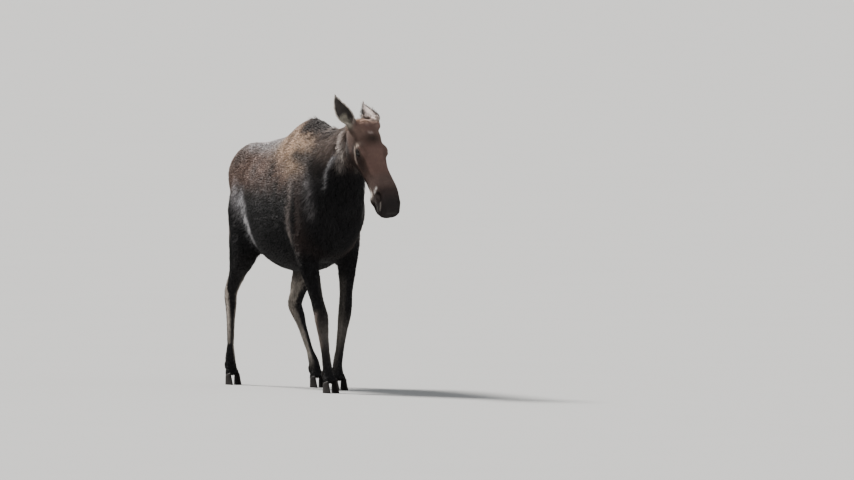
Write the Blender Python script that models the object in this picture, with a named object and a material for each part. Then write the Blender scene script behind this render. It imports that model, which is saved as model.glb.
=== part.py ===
"""A cow moose, standing in mid stride with its head lowered and turned a little to its left.

It is modelled at life size in metres, +Z up, facing -Y, its left side at +X, with the origin on the
floor under the middle of its bounding box. The body is built whole from lofted forms, melted into
one skin, and then parted with thin cuts where a person would name its parts.
"""

import math

import bmesh
import bpy
import numpy as np
from mathutils import Matrix, Vector

# ---------------------------------------------------------------- driving dimensions, in metres

HUMP_HEIGHT = 1.754  # floor to the hair on the hump above the shoulders
BACK_HEIGHT = 1.600  # the middle of the back, behind the hump
CROUP_HEIGHT = 1.550
BELLY_HEIGHT = 0.750
CHEST_HEIGHT = 0.820  # the chest's floor between the forelegs
BARREL_HALF_WIDTH = 0.297
HAUNCH_HALF_WIDTH = 0.245
HEAD_HALF_WIDTH = 0.106  # at the eyes
MUZZLE_HALF_WIDTH = 0.080
EYE_RADIUS = 0.0195
EAR_LENGTH = 0.212
EAR_ROOT = 0.039  # radius of the stub that carries the ear
CANNON_HALF_WIDTH = 0.0215
TOE_LENGTH = 0.125
TOE_HALF_WIDTH = 0.0255
CORONET_HEIGHT = 0.066
CORONET_SLOPE = 0.22  # it falls this much per metre towards the heel

POLL = Vector((0.030, -1.110, 1.752))  # the top of the head, between the ears
HEAD_DOWN = math.radians(60)  # the face's slope below level
HEAD_TURN = math.radians(18)  # towards the animal's left

CUT = 0.0006  # the gap that parts one node from the next
SNUG = 0.0008  # how much wider a socket is than what sits in it
VOXEL = 0.0080
EVEN_ROUNDS = 5  # of smoothing, everywhere
BLEND_ROUNDS = 90  # of easing one form into the next, on the trunk
BODY_TRIANGLES = 2650
FACE_TRIANGLES = 1100

COLOURS = {
    "trunk": (0.040, 0.028, 0.023),
    "neck": (0.062, 0.045, 0.036),
    "head": (0.070, 0.046, 0.036),
    "ear": (0.120, 0.100, 0.088),
    "tail": (0.040, 0.028, 0.023),
    "eye": (0.012, 0.009, 0.008),
    "leg": (0.050, 0.043, 0.038),
    "hoof": (0.035, 0.030, 0.027),
}

# Each joint is (x, y, z) at the middle of the leg. The right foreleg reaches ahead, the left one is
# under the chest, the left hind leg has swung forward and the right one pushes off behind.
FORELEGS = {
    "foreleg_right": {
        "blade": (-0.120, -0.270, 1.500),
        "shoulder": (-0.152, -0.600, 1.130),
        "elbow": (-0.165, -0.500, 0.930),
        "knee": (-0.137, -0.748, 0.485),
        "fetlock": (-0.117, -0.815, 0.150),
        "coronet": (-0.115, -0.850, CORONET_HEIGHT),
    },
    "foreleg_left": {
        "blade": (0.120, -0.240, 1.500),
        "shoulder": (0.152, -0.560, 1.130),
        "elbow": (0.172, -0.400, 0.930),
        "knee": (0.141, -0.430, 0.530),
        "fetlock": (0.118, -0.345, 0.150),
        "coronet": (0.115, -0.378, CORONET_HEIGHT),
    },
}
HINDLEGS = {
    "hindleg_right": {
        "hip": (-0.130, 0.580, 1.250),
        "stifle": (-0.198, 0.455, 0.930),
        "hock": (-0.187, 0.838, 0.598),
        "fetlock": (-0.168, 0.905, 0.155),
        "coronet": (-0.165, 0.880, CORONET_HEIGHT),
    },
    "hindleg_left": {
        "hip": (0.130, 0.530, 1.250),
        "stifle": (0.195, 0.250, 0.930),
        "hock": (0.142, 0.535, 0.535),
        "fetlock": (0.164, 0.225, 0.150),
        "coronet": (0.167, 0.185, CORONET_HEIGHT),
    },
}


# ---------------------------------------------------------------- the frame of the head


def head_frame():
    """Columns left, nose and crown: the head's own axes, with their origin at the poll."""
    turned = Matrix.Rotation(HEAD_TURN, 3, "Z") @ Matrix.Rotation(HEAD_DOWN, 3, "X")
    left, nose, crown = (turned @ Vector(axis) for axis in ((1, 0, 0), (0, -1, 0), (0, 0, 1)))
    return Matrix((left, nose, crown)).transposed()


HEAD = head_frame()


def on_head(left, along, up):
    """A point given in the head's own axes."""
    return POLL + HEAD @ Vector((left, along, up))


def in_head(points):
    """World points as rows of (left, along, up)."""
    return (points - np.array(POLL)) @ np.array(HEAD)


# ---------------------------------------------------------------- lofts


def smooth_through(values, places):
    """Rows at new places along the run of the first three columns, never overshooting a station."""
    table = np.array(values, float)
    run = np.linalg.norm(np.diff(table[:, :3], axis=0), axis=1)
    knots = np.concatenate([[0], np.cumsum(run)])
    slope = np.diff(table, axis=0) / run[:, None]
    together = slope[:-1] * slope[1:]
    total = slope[:-1] + slope[1:]
    shared = np.where(together > 0, 2 * together / np.where(total == 0, 1, total), 0)
    shared[:, :3] = total[:, :3] / 2
    grade = np.vstack([slope[:1], shared, slope[-1:]])
    at = np.linspace(0, knots[-1], places)
    i = np.clip(np.searchsorted(knots, at, side="right") - 1, 0, len(knots) - 2)
    h = run[i][:, None]
    t = (at - knots[i])[:, None] / h
    return (
        (2 * t**3 - 3 * t**2 + 1) * table[i]
        + (t**3 - 2 * t**2 + t) * h * grade[i]
        + (3 * t**2 - 2 * t**3) * table[i + 1]
        + (t**3 - t**2) * h * grade[i + 1]
    )


def superellipse_rings(centre, across, front, rows, around):
    """Sections with half width, front reach, back reach and a fullness for front and for back.

    A fullness of 2 is round, below 2 is pointed and above 2 is square.
    """
    angle = np.linspace(0, 2 * math.pi, around, endpoint=False)
    c, s = np.cos(angle), np.sin(angle)
    fullness = np.where(s >= 0, rows[:, 3:4], rows[:, 4:5])
    reach = np.where(s >= 0, rows[:, 1:2], rows[:, 2:3])
    u = rows[:, 0:1] * np.sign(c) * np.abs(c) ** (2 / fullness)
    v = reach * np.sign(s) * np.abs(s) ** (2 / fullness)
    return centre[:, None] + u[..., None] * across[:, None] + v[..., None] * front[:, None]


def unit(rows):
    return rows / np.linalg.norm(rows, axis=-1, keepdims=True)


def limb(stations, around=28, pitch=0.02, swell=0.5):
    """A closed skin whose sections stand square to their path, with low domes for ends.

    A station is (x, y, z, half width, front reach, back reach, fullness).
    """
    rows = smooth_through(stations, max(4, int(path_length(stations) / pitch)))
    centre = rows[:, :3]
    ahead = unit(np.gradient(centre, axis=0))
    side = np.array((1.0, 0.0, 0.0))
    across = unit(side - ahead * (ahead @ side)[:, None])
    front = np.cross(ahead, across)
    sizes = np.column_stack([rows[:, 3:6], rows[:, 6], rows[:, 6]])
    rings = superellipse_rings(centre, across, front, sizes, around)
    dome = swell * rows[[0, -1], 3]
    poles = (centre[0] - ahead[0] * dome[0], centre[-1] + ahead[-1] * dome[1])
    return closed_tube(rings, poles)


def path_length(stations):
    return np.linalg.norm(np.diff(np.array(stations, float)[:, :3], axis=0), axis=1).sum()


def ribbed(stations, around=48, pitch=0.02, axes=None, origin=(0, 0, 0)):
    """A closed skin whose sections each hang between a top point and an under point.

    A station is (side, top along, top up, under along, under up, share, half width, fullness above,
    fullness below). The widest place is at that share of the way up from the under point.
    """
    table = np.array(stations, float)
    top = table[:, [0, 1, 2]]
    under = table[:, [0, 3, 4]]
    middle = under + table[:, 5:6] * (top - under)
    rows = smooth_through(
        np.column_stack([middle, top - middle, under - middle, table[:, 6:9]]),
        max(6, int(path_length(middle) / pitch)),
    )
    centre = rows[:, :3]
    above = np.linalg.norm(rows[:, 3:6], axis=1)
    below = np.linalg.norm(rows[:, 6:9], axis=1)
    front = rows[:, 3:6] / above[:, None]
    across = np.tile((1.0, 0.0, 0.0), (len(rows), 1))
    sizes = np.column_stack([rows[:, 9], above, below, rows[:, 10], rows[:, 11]])
    rings = superellipse_rings(centre, across, front, sizes, around)
    poles = (rings[0].mean(0), rings[-1].mean(0))
    verts, faces = closed_tube(rings, poles)
    if axes is not None:
        verts = verts @ np.array(axes).T + np.array(origin)
    return verts, faces


def closed_tube(rings, poles):
    """Vertices and faces of a stack of rings with a pole at each end."""
    count, around = rings.shape[:2]
    verts = np.vstack([rings.reshape(-1, 3), np.array(poles, float)])
    index = np.arange(count * around).reshape(count, around)
    after = np.roll(index, -1, axis=1)
    quads = np.stack([index[:-1], after[:-1], after[1:], index[1:]], -1).reshape(-1, 4)
    first, last = count * around, count * around + 1
    faces = [tuple(face) for face in quads.tolist()]
    faces += [(first, int(b), int(a)) for a, b in zip(index[0], after[0])]
    faces += [(last, int(a), int(b)) for a, b in zip(index[-1], after[-1])]
    return verts, faces


def ball(centre, radii, axes=None, around=24):
    """An ellipsoid with its three radii along the columns of axes."""
    tall = np.linspace(math.pi, 0, around // 2 + 1)[1:-1, None]
    angle = np.linspace(0, 2 * math.pi, around, endpoint=False)
    upright = np.cos(tall) + 0 * angle
    on_unit = np.stack([np.sin(tall) * np.cos(angle), np.sin(tall) * np.sin(angle), upright], -1)
    frame = np.array(axes if axes is not None else Matrix.Identity(3)) * np.array(radii)
    place = np.array(centre, float)
    return closed_tube(on_unit @ frame.T + place, (place - frame[:, 2], place + frame[:, 2]))


def between(a, b, share):
    return tuple(Vector(a).lerp(Vector(b), share))


def shifted(point, x=0.0, y=0.0, z=0.0):
    return (point[0] + x, point[1] + y, point[2] + z)


# ---------------------------------------------------------------- trunk, neck and tail


def trunk_forms():
    """The barrel with the hump over the shoulder blades, and the bones of the croup."""

    def section(y, top, under, share, width, above, below=2.0):
        return (0, y, top, y, under, share, width, above, below)

    barrel = [
        section(0.885, 1.350, 1.120, 0.50, 0.075, 2.0),
        section(0.820, 1.440, 1.000, 0.55, 0.145, 2.0),
        section(0.700, CROUP_HEIGHT - 0.008, 0.905, 0.55, HAUNCH_HALF_WIDTH - 0.020, 2.0),
        section(0.550, BACK_HEIGHT - 0.035, 0.858, 0.52, HAUNCH_HALF_WIDTH - 0.005, 2.0),
        section(0.360, BACK_HEIGHT + 0.006, 0.800, 0.48, 0.265, 2.0, 2.1),
        section(0.200, BACK_HEIGHT + 0.022, 0.769, 0.46, BARREL_HALF_WIDTH - 0.012, 1.95, 2.2),
        section(0.040, BACK_HEIGHT + 0.055, BELLY_HEIGHT, 0.43, BARREL_HALF_WIDTH, 1.8, 2.2),
        section(-0.150, HUMP_HEIGHT - 0.013, BELLY_HEIGHT, 0.40, 0.285, 1.6, 2.2),
        section(-0.260, HUMP_HEIGHT, BELLY_HEIGHT + 0.018, 0.39, 0.272, 1.5, 2.2),
        section(-0.360, HUMP_HEIGHT - 0.006, CHEST_HEIGHT - 0.010, 0.38, 0.262, 1.5, 2.2),
        section(-0.470, HUMP_HEIGHT - 0.038, CHEST_HEIGHT, 0.38, 0.238, 1.55, 2.2),
        section(-0.600, HUMP_HEIGHT - 0.073, CHEST_HEIGHT + 0.040, 0.40, 0.208, 1.7, 2.1),
        section(-0.710, HUMP_HEIGHT - 0.150, CHEST_HEIGHT + 0.120, 0.42, 0.170, 1.9),
        section(-0.785, 1.480, 1.040, 0.45, 0.120, 2.0),
    ]
    forms = [ribbed(barrel, around=60)]
    for side in (1, -1):
        croup = [
            (0.105 * side, 0.340, 1.420, 0.110, 0.140, 0.150, 2),
            (0.130 * side, 0.540, 1.410, 0.122, 0.165, 0.170, 2),
            (0.128 * side, 0.720, 1.350, 0.118, 0.150, 0.160, 2),
            (0.092 * side, 0.860, 1.230, 0.085, 0.110, 0.120, 2),
        ]
        forms.append(limb(croup))
    return forms


def neck_forms():
    """A deep, thick neck, level along its crest, with the breast below it."""
    column = [
        (0.000, -0.420, 1.690, -0.620, 0.950, 0.42, 0.190, 1.7, 2.0),
        (0.000, -0.580, 1.690, -0.800, 1.080, 0.42, 0.172, 1.7, 2.0),
        (0.004, -0.720, 1.698, -0.865, 1.200, 0.42, 0.142, 1.75, 1.9),
        (0.014, -0.860, 1.718, -0.890, 1.330, 0.45, 0.118, 1.85, 1.9),
        (0.023, -0.970, 1.732, -0.905, 1.430, 0.48, 0.100, 1.9, 1.9),
        (0.030, -1.050, 1.735, -0.930, 1.510, 0.50, 0.088, 2.0, 2.0),
        (0.034, -1.090, 1.715, -0.965, 1.560, 0.50, 0.074, 2.0, 2.0),
    ]
    breast = ball((0, -0.665, 1.110), (0.150, 0.135, 0.190))
    return [ribbed(column), breast]


def ear_seat(side):
    """The room above an ear's root, which leaves the root with a flat face to carry the ear."""
    base, ahead, _ = ear_frame(side)
    path = (tuple(base), tuple(base + 0.035 * ahead), tuple(base + 0.070 * ahead))
    wide = EAR_ROOT + 0.016
    return new_object("seat", *limb([(*p, wide, wide, wide, 2) for p in path], 14, swell=0))


def tail_object(name, grow=0.0):
    """A hand's breadth of tail that hangs close against the rump."""
    stations = [
        (0, 0.868, 1.435, 0.036, 0.030, 0.028, 2),
        (0, 0.912, 1.385, 0.040, 0.032, 0.028, 2),
        (0, 0.930, 1.320, 0.038, 0.030, 0.026, 2),
        (0, 0.930, 1.255, 0.029, 0.024, 0.020, 2),
        (0, 0.926, 1.215, 0.014, 0.013, 0.011, 2),
    ]
    return new_object(name, *limb(fatter(stations, grow), around=14, pitch=0.03))


def fatter(stations, grow):
    """Stations of a limb with every reach grown by the same amount."""
    return [(*row[:3], *(reach + grow for reach in row[3:6]), row[6]) for row in stations]


# ---------------------------------------------------------------- legs


def foreleg_forms(joints):
    """Shoulder blade, upper arm, forearm, knee, cannon and pastern of one foreleg."""
    out = math.copysign(1, joints["elbow"][0])
    blade, shoulder, elbow = joints["blade"], joints["shoulder"], joints["elbow"]
    knee, fetlock, coronet = joints["knee"], joints["fetlock"], joints["coronet"]
    shoulder_blade = [
        (*blade, 0.070, 0.090, 0.110, 2),
        (*shifted(between(blade, shoulder, 0.5), x=0.022 * out), 0.086, 0.105, 0.140, 2),
        (*shoulder, 0.080, 0.085, 0.120, 2),
        (*between(shoulder, elbow, 0.5), 0.070, 0.070, 0.100, 2),
    ]
    triceps = [
        (*shifted(between(blade, elbow, 0.35), x=0.040 * out, y=0.050), 0.066, 0.100, 0.080, 2),
        (*shifted(between(blade, elbow, 0.72), x=0.038 * out, y=0.025), 0.072, 0.110, 0.090, 2),
        (*shifted(elbow, x=0.008 * out), 0.070, 0.095, 0.085, 2),
        (*between(elbow, knee, 0.20), 0.066, 0.082, 0.070, 2),
    ]
    lower = [
        (*shifted(elbow, z=0.060), 0.078, 0.105, 0.090, 2),
        (*between(elbow, knee, 0.18), 0.072, 0.088, 0.078, 2),
        (*between(elbow, knee, 0.50), 0.059, 0.064, 0.062, 2),
        (*between(elbow, knee, 0.80), 0.046, 0.050, 0.047, 2),
        (*knee, 0.045, 0.053, 0.045, 2.3),
        (*between(knee, fetlock, 0.17), 0.041, 0.048, 0.042, 2.2),
        (*between(knee, fetlock, 0.36), CANNON_HALF_WIDTH + 0.012, 0.038, 0.036, 2.1),
        (*between(knee, fetlock, 0.72), CANNON_HALF_WIDTH + 0.006, 0.031, 0.034, 2.1),
        (*fetlock, 0.031, 0.034, 0.039, 2.1),
        (*between(fetlock, coronet, 0.50), 0.036, 0.034, 0.038, 2.1),
        (*coronet, 0.047, 0.043, 0.043, 2.3),
        (*shifted(coronet, y=-0.015, z=-0.040), 0.050, 0.046, 0.046, 2.3),
    ]
    return [limb(shoulder_blade), limb(triceps), limb(lower, pitch=0.012)]


def hindleg_forms(joints):
    """Haunch, thigh, gaskin, hock, cannon and pastern of one hind leg."""
    out = math.copysign(1, joints["hip"][0])
    hip, stifle, hock = joints["hip"], joints["stifle"], joints["hock"]
    fetlock, coronet = joints["fetlock"], joints["coronet"]
    thigh = [
        (*shifted(hip, y=-0.020, z=0.090), 0.110, 0.170, 0.200, 2),
        (*shifted(between(hip, stifle, 0.35), y=0.045), 0.130, 0.180, 0.220, 2.05),
        (*shifted(between(hip, stifle, 0.80), y=0.060), 0.100, 0.145, 0.165, 2.05),
        (*between(stifle, hock, 0.22), 0.082, 0.110, 0.115, 2),
        (*between(stifle, hock, 0.50), 0.062, 0.072, 0.072, 2),
    ]
    flexed = 0.058 if out > 0 else 0  # how much further the bent left gaskin reaches back
    behind_knee = shifted(between(stifle, hock, 0.35), y=0.082 + flexed)
    ham = [
        (*shifted(hip, x=-0.020 * out, y=0.200, z=0.030), 0.082, 0.090, 0.110, 2),
        (*between(shifted(hip, y=0.200), behind_knee, 0.55), 0.080, 0.110, 0.090, 2),
        (*behind_knee, 0.066, 0.090, 0.080, 2),
        (*shifted(between(stifle, hock, 0.68), y=0.050 + flexed), 0.042, 0.060, 0.050, 2),
        (*shifted(hock, y=0.030 + 0.4 * flexed, z=0.075), 0.026, 0.040, 0.027, 2),
    ]
    lower = [
        (*between(stifle, hock, 0.25), 0.080, 0.100, 0.100, 2),
        (*between(stifle, hock, 0.60), 0.056, 0.064, 0.060, 2),
        (*between(stifle, hock, 0.86), 0.046, 0.052, 0.052, 2),
        (*shifted(hock, y=0.010), 0.044, 0.056, 0.056, 2.2),
        (*between(hock, fetlock, 0.18), 0.038, 0.046, 0.048, 2.2),
        (*between(hock, fetlock, 0.40), 0.027, 0.033, 0.038, 2.1),
        (*between(hock, fetlock, 0.74), CANNON_HALF_WIDTH, 0.028, 0.034, 2.1),
        (*fetlock, 0.034, 0.036, 0.041, 2.1),
        (*between(fetlock, coronet, 0.50), 0.036, 0.034, 0.038, 2.1),
        (*coronet, 0.047, 0.043, 0.043, 2.3),
        (*shifted(coronet, y=-0.015, z=-0.040), 0.050, 0.046, 0.046, 2.3),
    ]
    heel = ball(shifted(hock, y=0.052, z=0.030), (0.024, 0.030, 0.048), around=16)
    return [limb(thigh), limb(ham), limb(lower, pitch=0.012), heel]


# ---------------------------------------------------------------- head


def head_forms():
    """Skull and long overhanging nose, jaw, cheeks, brows, temples, nostril rims, lip corners, ear roots."""
    wide = HEAD_HALF_WIDTH

    def section(along, top, under, share, width, above=2.4, below=2.0):
        return (0, along, top, along, under, share, width, above, below)

    skull = [
        section(-0.045, -0.070, -0.130, 0.50, 0.048, 2.0),
        section(0.000, -0.006, -0.165, 0.55, 0.078),
        section(0.050, 0.008, -0.195, 0.60, wide - 0.013),
        section(0.120, 0.011, -0.200, 0.64, wide - 0.005),
        section(0.200, 0.002, -0.190, 0.68, wide - 0.002),
        section(0.270, -0.010, -0.165, 0.64, wide - 0.009),
        section(0.340, -0.012, -0.142, 0.60, 0.090),
        section(0.420, 0.006, -0.128, 0.55, 0.084),
        section(0.500, 0.020, -0.122, 0.52, MUZZLE_HALF_WIDTH + 0.003),
        section(0.556, 0.012, -0.124, 0.50, MUZZLE_HALF_WIDTH + 0.003, 2.4, 2.2),
        section(0.604, -0.006, -0.130, 0.46, MUZZLE_HALF_WIDTH, 2.5, 2.4),
        section(0.640, -0.022, -0.132, 0.46, MUZZLE_HALF_WIDTH - 0.003, 2.6, 2.4),
        section(0.660, -0.038, -0.126, 0.50, 0.067, 2.6, 2.2),
    ]
    jaw = [
        section(0.055, -0.110, -0.200, 0.55, 0.060, 2.0),
        section(0.110, -0.100, -0.228, 0.60, 0.074, 2.0),
        section(0.180, -0.100, -0.226, 0.62, 0.072, 2.0),
        section(0.260, -0.100, -0.206, 0.60, 0.057, 2.0),
        section(0.350, -0.095, -0.180, 0.55, 0.045, 2.0),
        section(0.440, -0.095, -0.168, 0.55, 0.042, 2.0),
        section(0.530, -0.100, -0.172, 0.50, 0.045, 2.0),
        section(0.590, -0.108, -0.174, 0.50, 0.046, 2.0),
        section(0.622, -0.120, -0.164, 0.50, 0.034, 2.0),
    ]
    forms = [ribbed(form, axes=HEAD, origin=POLL) for form in (skull, jaw)]
    for side in (1, -1):
        forms.append(ball(on_head(0.058 * side, 0.165, -0.140), (0.042, 0.100, 0.070), HEAD))
        forms.append(ball(on_head(0.096 * side, 0.214, -0.036), (0.030, 0.050, 0.030), HEAD))
        forms.append(ball(on_head(0.074 * side, 0.105, -0.040), (0.032, 0.070, 0.034), HEAD))
        forms.append(ball(on_head(0.056 * side, 0.580, -0.056), (0.029, 0.052, 0.044), HEAD))
        forms.append(ball(on_head(0.044 * side, 0.520, -0.132), (0.026, 0.044, 0.028), HEAD))
        forms.append(limb([(*p, EAR_ROOT, EAR_ROOT, EAR_ROOT, 2) for p in ear_root(side)], around=20))
    return forms


def ear_root(side):
    """The short stub that carries an ear: from inside the skull to just past the ear's base."""
    base, ahead, _ = ear_frame(side)
    return [tuple(base - 0.055 * ahead), tuple(base - 0.020 * ahead), tuple(base + 0.016 * ahead)]


def ear_frame(side):
    """An ear's base, the direction of its blade and the way it opens.

    The right ear is pricked out and up; the left one is laid back with its hollow turned up.
    """
    base = on_head(0.090 * side, 0.028, -0.034)
    if side < 0:
        ahead = Vector((-0.125, -0.050, 0.180)).normalized()
        opening = Vector((-0.30, -0.95, 0.0))
    else:
        ahead = Vector((-0.004, 0.185, 0.122)).normalized()
        opening = Vector((-0.10, -0.80, 0.60))
    opening = (opening - ahead * opening.dot(ahead)).normalized()
    return base + 0.030 * ahead, ahead, opening


# A pinna along its length: share of the length, half width, depth of its hollow, how far round it
# wraps in degrees, and the thickness of its wall.
EAR_STATIONS = (
    (0.00, 0.039, 0.038, 172, 0.036),
    (0.08, 0.045, 0.038, 150, 0.028),
    (0.20, 0.052, 0.038, 118, 0.016),
    (0.36, 0.050, 0.035, 98, 0.012),
    (0.55, 0.040, 0.028, 90, 0.011),
    (0.75, 0.026, 0.018, 84, 0.009),
    (0.91, 0.014, 0.010, 76, 0.007),
    (1.00, 0.008, 0.006, 60, 0.006),
)
EAR_BOW = 0.020  # how far the right blade bulges away from its hollow; the left one sags instead
EAR_LEAN = 0.012  # how far the right blade's middle bends outwards


def ear_object(side):
    """A leaf-shaped blade, curled round its hollow, from its cut base to its tip."""
    base, ahead, opening = ear_frame(side)
    across = ahead.cross(opening)
    table = np.array(EAR_STATIONS)
    share = np.linspace(0, 1, 12)
    columns = [np.interp(share, table[:, 0], table[:, k]) for k in range(1, 5)]
    half, deep, wrap, wall = columns
    turn = np.linspace(-1, 1, 7)
    angle = turn * np.radians(wrap)[:, None]
    widest = np.where(wrap < 90, np.sin(np.radians(wrap)), 1)[:, None]
    rim = np.sqrt(1 - 0.72 * turn**2)
    outer = np.stack([half[:, None] * np.sin(angle) / widest, -deep[:, None] * np.cos(angle)], -1)
    inward = np.stack([-np.sin(angle), np.cos(angle)], -1)
    inner = outer + inward * (np.minimum(wall, 0.92 * half)[:, None] * rim)[..., None]
    outline = np.concatenate([outer, inner[:, ::-1]], axis=1)
    bow = (-EAR_BOW if side < 0 else 0.6 * EAR_BOW) * np.sin(math.pi * share)
    place = np.array(base) + (CUT + share * EAR_LENGTH)[:, None] * np.array(ahead)
    lean = (-EAR_LEAN if side < 0 else 0) * np.sin(math.pi * share)
    place = place + bow[:, None] * np.array(opening) + lean[:, None] * np.array(across)
    rings = (
        place[:, None]
        + outline[..., 0:1] * np.array(across)
        + outline[..., 1:2] * np.array(opening)
    )
    return new_object("ear_" + ("left" if side > 0 else "right"), *closed_tube(
        rings, (rings[0].mean(0), rings[-1].mean(0) + 0.004 * np.array(ahead))))


# ---------------------------------------------------------------- hooves and dewclaws


def toe_object(name, joint, side, turn, length):
    """One toe: a narrow hoof with a flat sole, a pointed front and a coronet that slopes back."""
    angle = np.linspace(0, 2 * math.pi, 14, endpoint=False)
    forward, outward = np.cos(angle), np.sin(angle)
    levels = ((0.0, 1.00, 1.00), (0.12, 1.02, 1.02), (0.5, 0.90, 0.98), (1.0, 0.68, 0.88))
    rings = []
    for share, long_share, wide_share in levels:
        reach = np.where(forward > 0, 0.60 * length * long_share, 0.40 * length * wide_share)
        taper = np.where(forward > 0, 1 - 0.55 * forward**2, 1 - 0.10 * forward**2)
        cleft = np.where(outward * side < 0, 0.80, 1.0)
        ahead = forward * reach + 0.012 * (1 - share)
        across = outward * TOE_HALF_WIDTH * wide_share * cleft * taper + side * TOE_HALF_WIDTH
        x = math.cos(turn) * across + math.sin(turn) * ahead
        y = math.sin(turn) * across - math.cos(turn) * ahead - 0.012
        top = CORONET_HEIGHT - 1.5 * CUT - CORONET_SLOPE * y
        rings.append(np.stack([x + joint[0], y + joint[1], share * top], -1))
    rings = np.array(rings)
    return new_object(name, *closed_tube(rings, (rings[0].mean(0), rings[-1].mean(0))))


def dewclaw_object(name, fetlock, side, grow=0.0):
    """A small hoof behind the fetlock, hanging a little outward."""
    x, y, z = fetlock
    stations = [
        (x + 0.014 * side, y + 0.018, z - 0.008, 0.012, 0.011, 0.011, 2),
        (x + 0.018 * side, y + 0.029, z - 0.026, 0.014, 0.012, 0.012, 2),
        (x + 0.021 * side, y + 0.035, z - 0.048, 0.011, 0.010, 0.010, 2),
        (x + 0.021 * side, y + 0.035, z - 0.062, 0.006, 0.006, 0.006, 2),
    ]
    return new_object(name, *limb(fatter(stations, grow), around=6, pitch=0.02))


# ---------------------------------------------------------------- melting the forms into one skin

# Soft strokes on the melted head: centre on the head's axes, the stroke's three radii, and how far
# the surface moves out at its middle. Each is made on both sides.
HEAD_STROKES = (
    ((0.114, 0.217, -0.047), (0.030, 0.034, 0.020), -0.0100),  # eye socket
    ((0.084, 0.285, -0.060), (0.040, 0.050, 0.022), -0.0080),  # hollow in front of the eye
    ((0.072, 0.405, -0.095), (0.040, 0.090, 0.030), -0.0050),  # cheek falling away to the bars
    ((0.084, 0.566, -0.056), (0.026, 0.028, 0.015), -0.0160),  # nostril
    ((0.062, 0.575, -0.126), (0.045, 0.085, 0.010), -0.0090),  # parting of the lips
)


def new_object(name, verts, faces):
    """A closed mesh object whose faces point out."""
    mesh = bpy.data.meshes.new(name)
    mesh.from_pydata([tuple(v) for v in np.asarray(verts, float)], [], faces)
    work = bmesh.new()
    work.from_mesh(mesh)
    bmesh.ops.remove_doubles(work, verts=work.verts, dist=1e-6)
    bmesh.ops.recalc_face_normals(work, faces=work.faces)
    if work.calc_volume(signed=True) < 0:
        bmesh.ops.reverse_faces(work, faces=work.faces)
    work.to_mesh(mesh)
    work.free()
    made = bpy.data.objects.new(name, mesh)
    bpy.context.scene.collection.objects.link(made)
    return made


def applied(obj):
    """The object's mesh with its modifiers applied."""
    bpy.context.view_layer.update()
    graph = bpy.context.evaluated_depsgraph_get()
    return bpy.data.meshes.new_from_object(obj.evaluated_get(graph))


def read_points(mesh):
    points = np.empty(len(mesh.vertices) * 3)
    mesh.vertices.foreach_get("co", points)
    return points.reshape(-1, 3)


def write_points(mesh, points):
    mesh.vertices.foreach_set("co", points.ravel())
    mesh.update()


def pulled(points, edges, count, share):
    """Each point moved by a share of the way to the middle of its neighbours."""
    near = np.empty_like(points)
    for k in range(3):
        near[:, k] = np.bincount(edges[:, 0], points[edges[:, 1], k], len(points))
        near[:, k] += np.bincount(edges[:, 1], points[edges[:, 0], k], len(points))
    return points + share * (near / count - points)


def smoothed(points, edges):
    """Evens the skin out without shrinking it, then blends the trunk's forms into each other."""
    count = np.bincount(edges.ravel(), minlength=len(points))[:, None]
    for _ in range(EVEN_ROUNDS):
        points = pulled(points, edges, count, 0.55)
        points = pulled(points, edges, count, -0.565)
    ease = 0.6 * softness(points)[:, None]
    for _ in range(BLEND_ROUNDS):
        points = pulled(points, edges, count, ease)
    return points


def softness(points):
    """Full smoothing on the trunk, fading out down the legs and towards the face."""
    down = np.clip((points[:, 2] - 0.45) / 0.35, 0, 1)
    back = np.clip((points[:, 1] + 0.95) / 0.20, 0, 1)
    return np.maximum(down * back, 0.10 * (points[:, 2] > 1.0))


def melted(forms):
    """One even skin round all the forms."""
    verts, faces, start = [], [], 0
    for form_verts, form_faces in forms:
        verts.append(form_verts)
        faces += [tuple(i + start for i in face) for face in form_faces]
        start += len(form_verts)
    rough = new_object("rough", np.vstack(verts), faces)
    remesh = rough.modifiers.new("melt", "REMESH")
    remesh.mode = "VOXEL"
    remesh.voxel_size = VOXEL
    mesh = applied(rough)
    bpy.data.objects.remove(rough)
    edges = np.empty(len(mesh.edges) * 2, np.int64)
    mesh.edges.foreach_get("vertices", edges)
    points = smoothed(read_points(mesh), edges.reshape(-1, 2))
    write_points(mesh, points)
    whole = bpy.data.objects.new("flesh", mesh)
    bpy.context.scene.collection.objects.link(whole)
    return whole


def stroke_head(mesh):
    """Moves the skin of the head along its normals by the head's strokes."""
    points = read_points(mesh)
    normals = np.empty(len(mesh.vertices) * 3)
    mesh.vertices.foreach_get("normal", normals)
    local = in_head(points)
    push = np.zeros(len(points))
    for centre, radii, depth in HEAD_STROKES:
        for side in (1, -1):
            off = (local - np.array(centre) * (side, 1, 1)) / np.array(radii)
            push += depth * np.exp(-(off**2).sum(1))
    write_points(mesh, points + normals.reshape(-1, 3) * push[:, None])


def thinned(obj, body_triangles, face_triangles):
    """Fewer triangles: the body first, then the face, each down to its own number."""
    work = bmesh.new()
    work.from_mesh(obj.data)
    bmesh.ops.triangulate(work, faces=work.faces)
    work.to_mesh(obj.data)
    work.free()
    for on_face, target in ((False, body_triangles), (True, face_triangles)):
        local = in_head(read_points(obj.data))
        face = (np.linalg.norm(local, axis=1) < 0.80) & (local[:, 1] > -0.02)
        chosen = face == on_face
        corners = np.empty(len(obj.data.loops), np.int32)
        obj.data.loops.foreach_get("vertex_index", corners)
        free = int(chosen[corners.reshape(-1, 3)].all(1).sum())
        group = obj.vertex_groups.new(name="free")
        group.add(np.flatnonzero(chosen).tolist(), 1.0, "REPLACE")
        decimate = obj.modifiers.new("thin", "DECIMATE")
        decimate.ratio = 1 - (free - target) / len(obj.data.polygons)
        decimate.vertex_group = group.name
        mesh = applied(obj)
        obj.modifiers.clear()
        obj.vertex_groups.clear()
        obj.data = mesh


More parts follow.
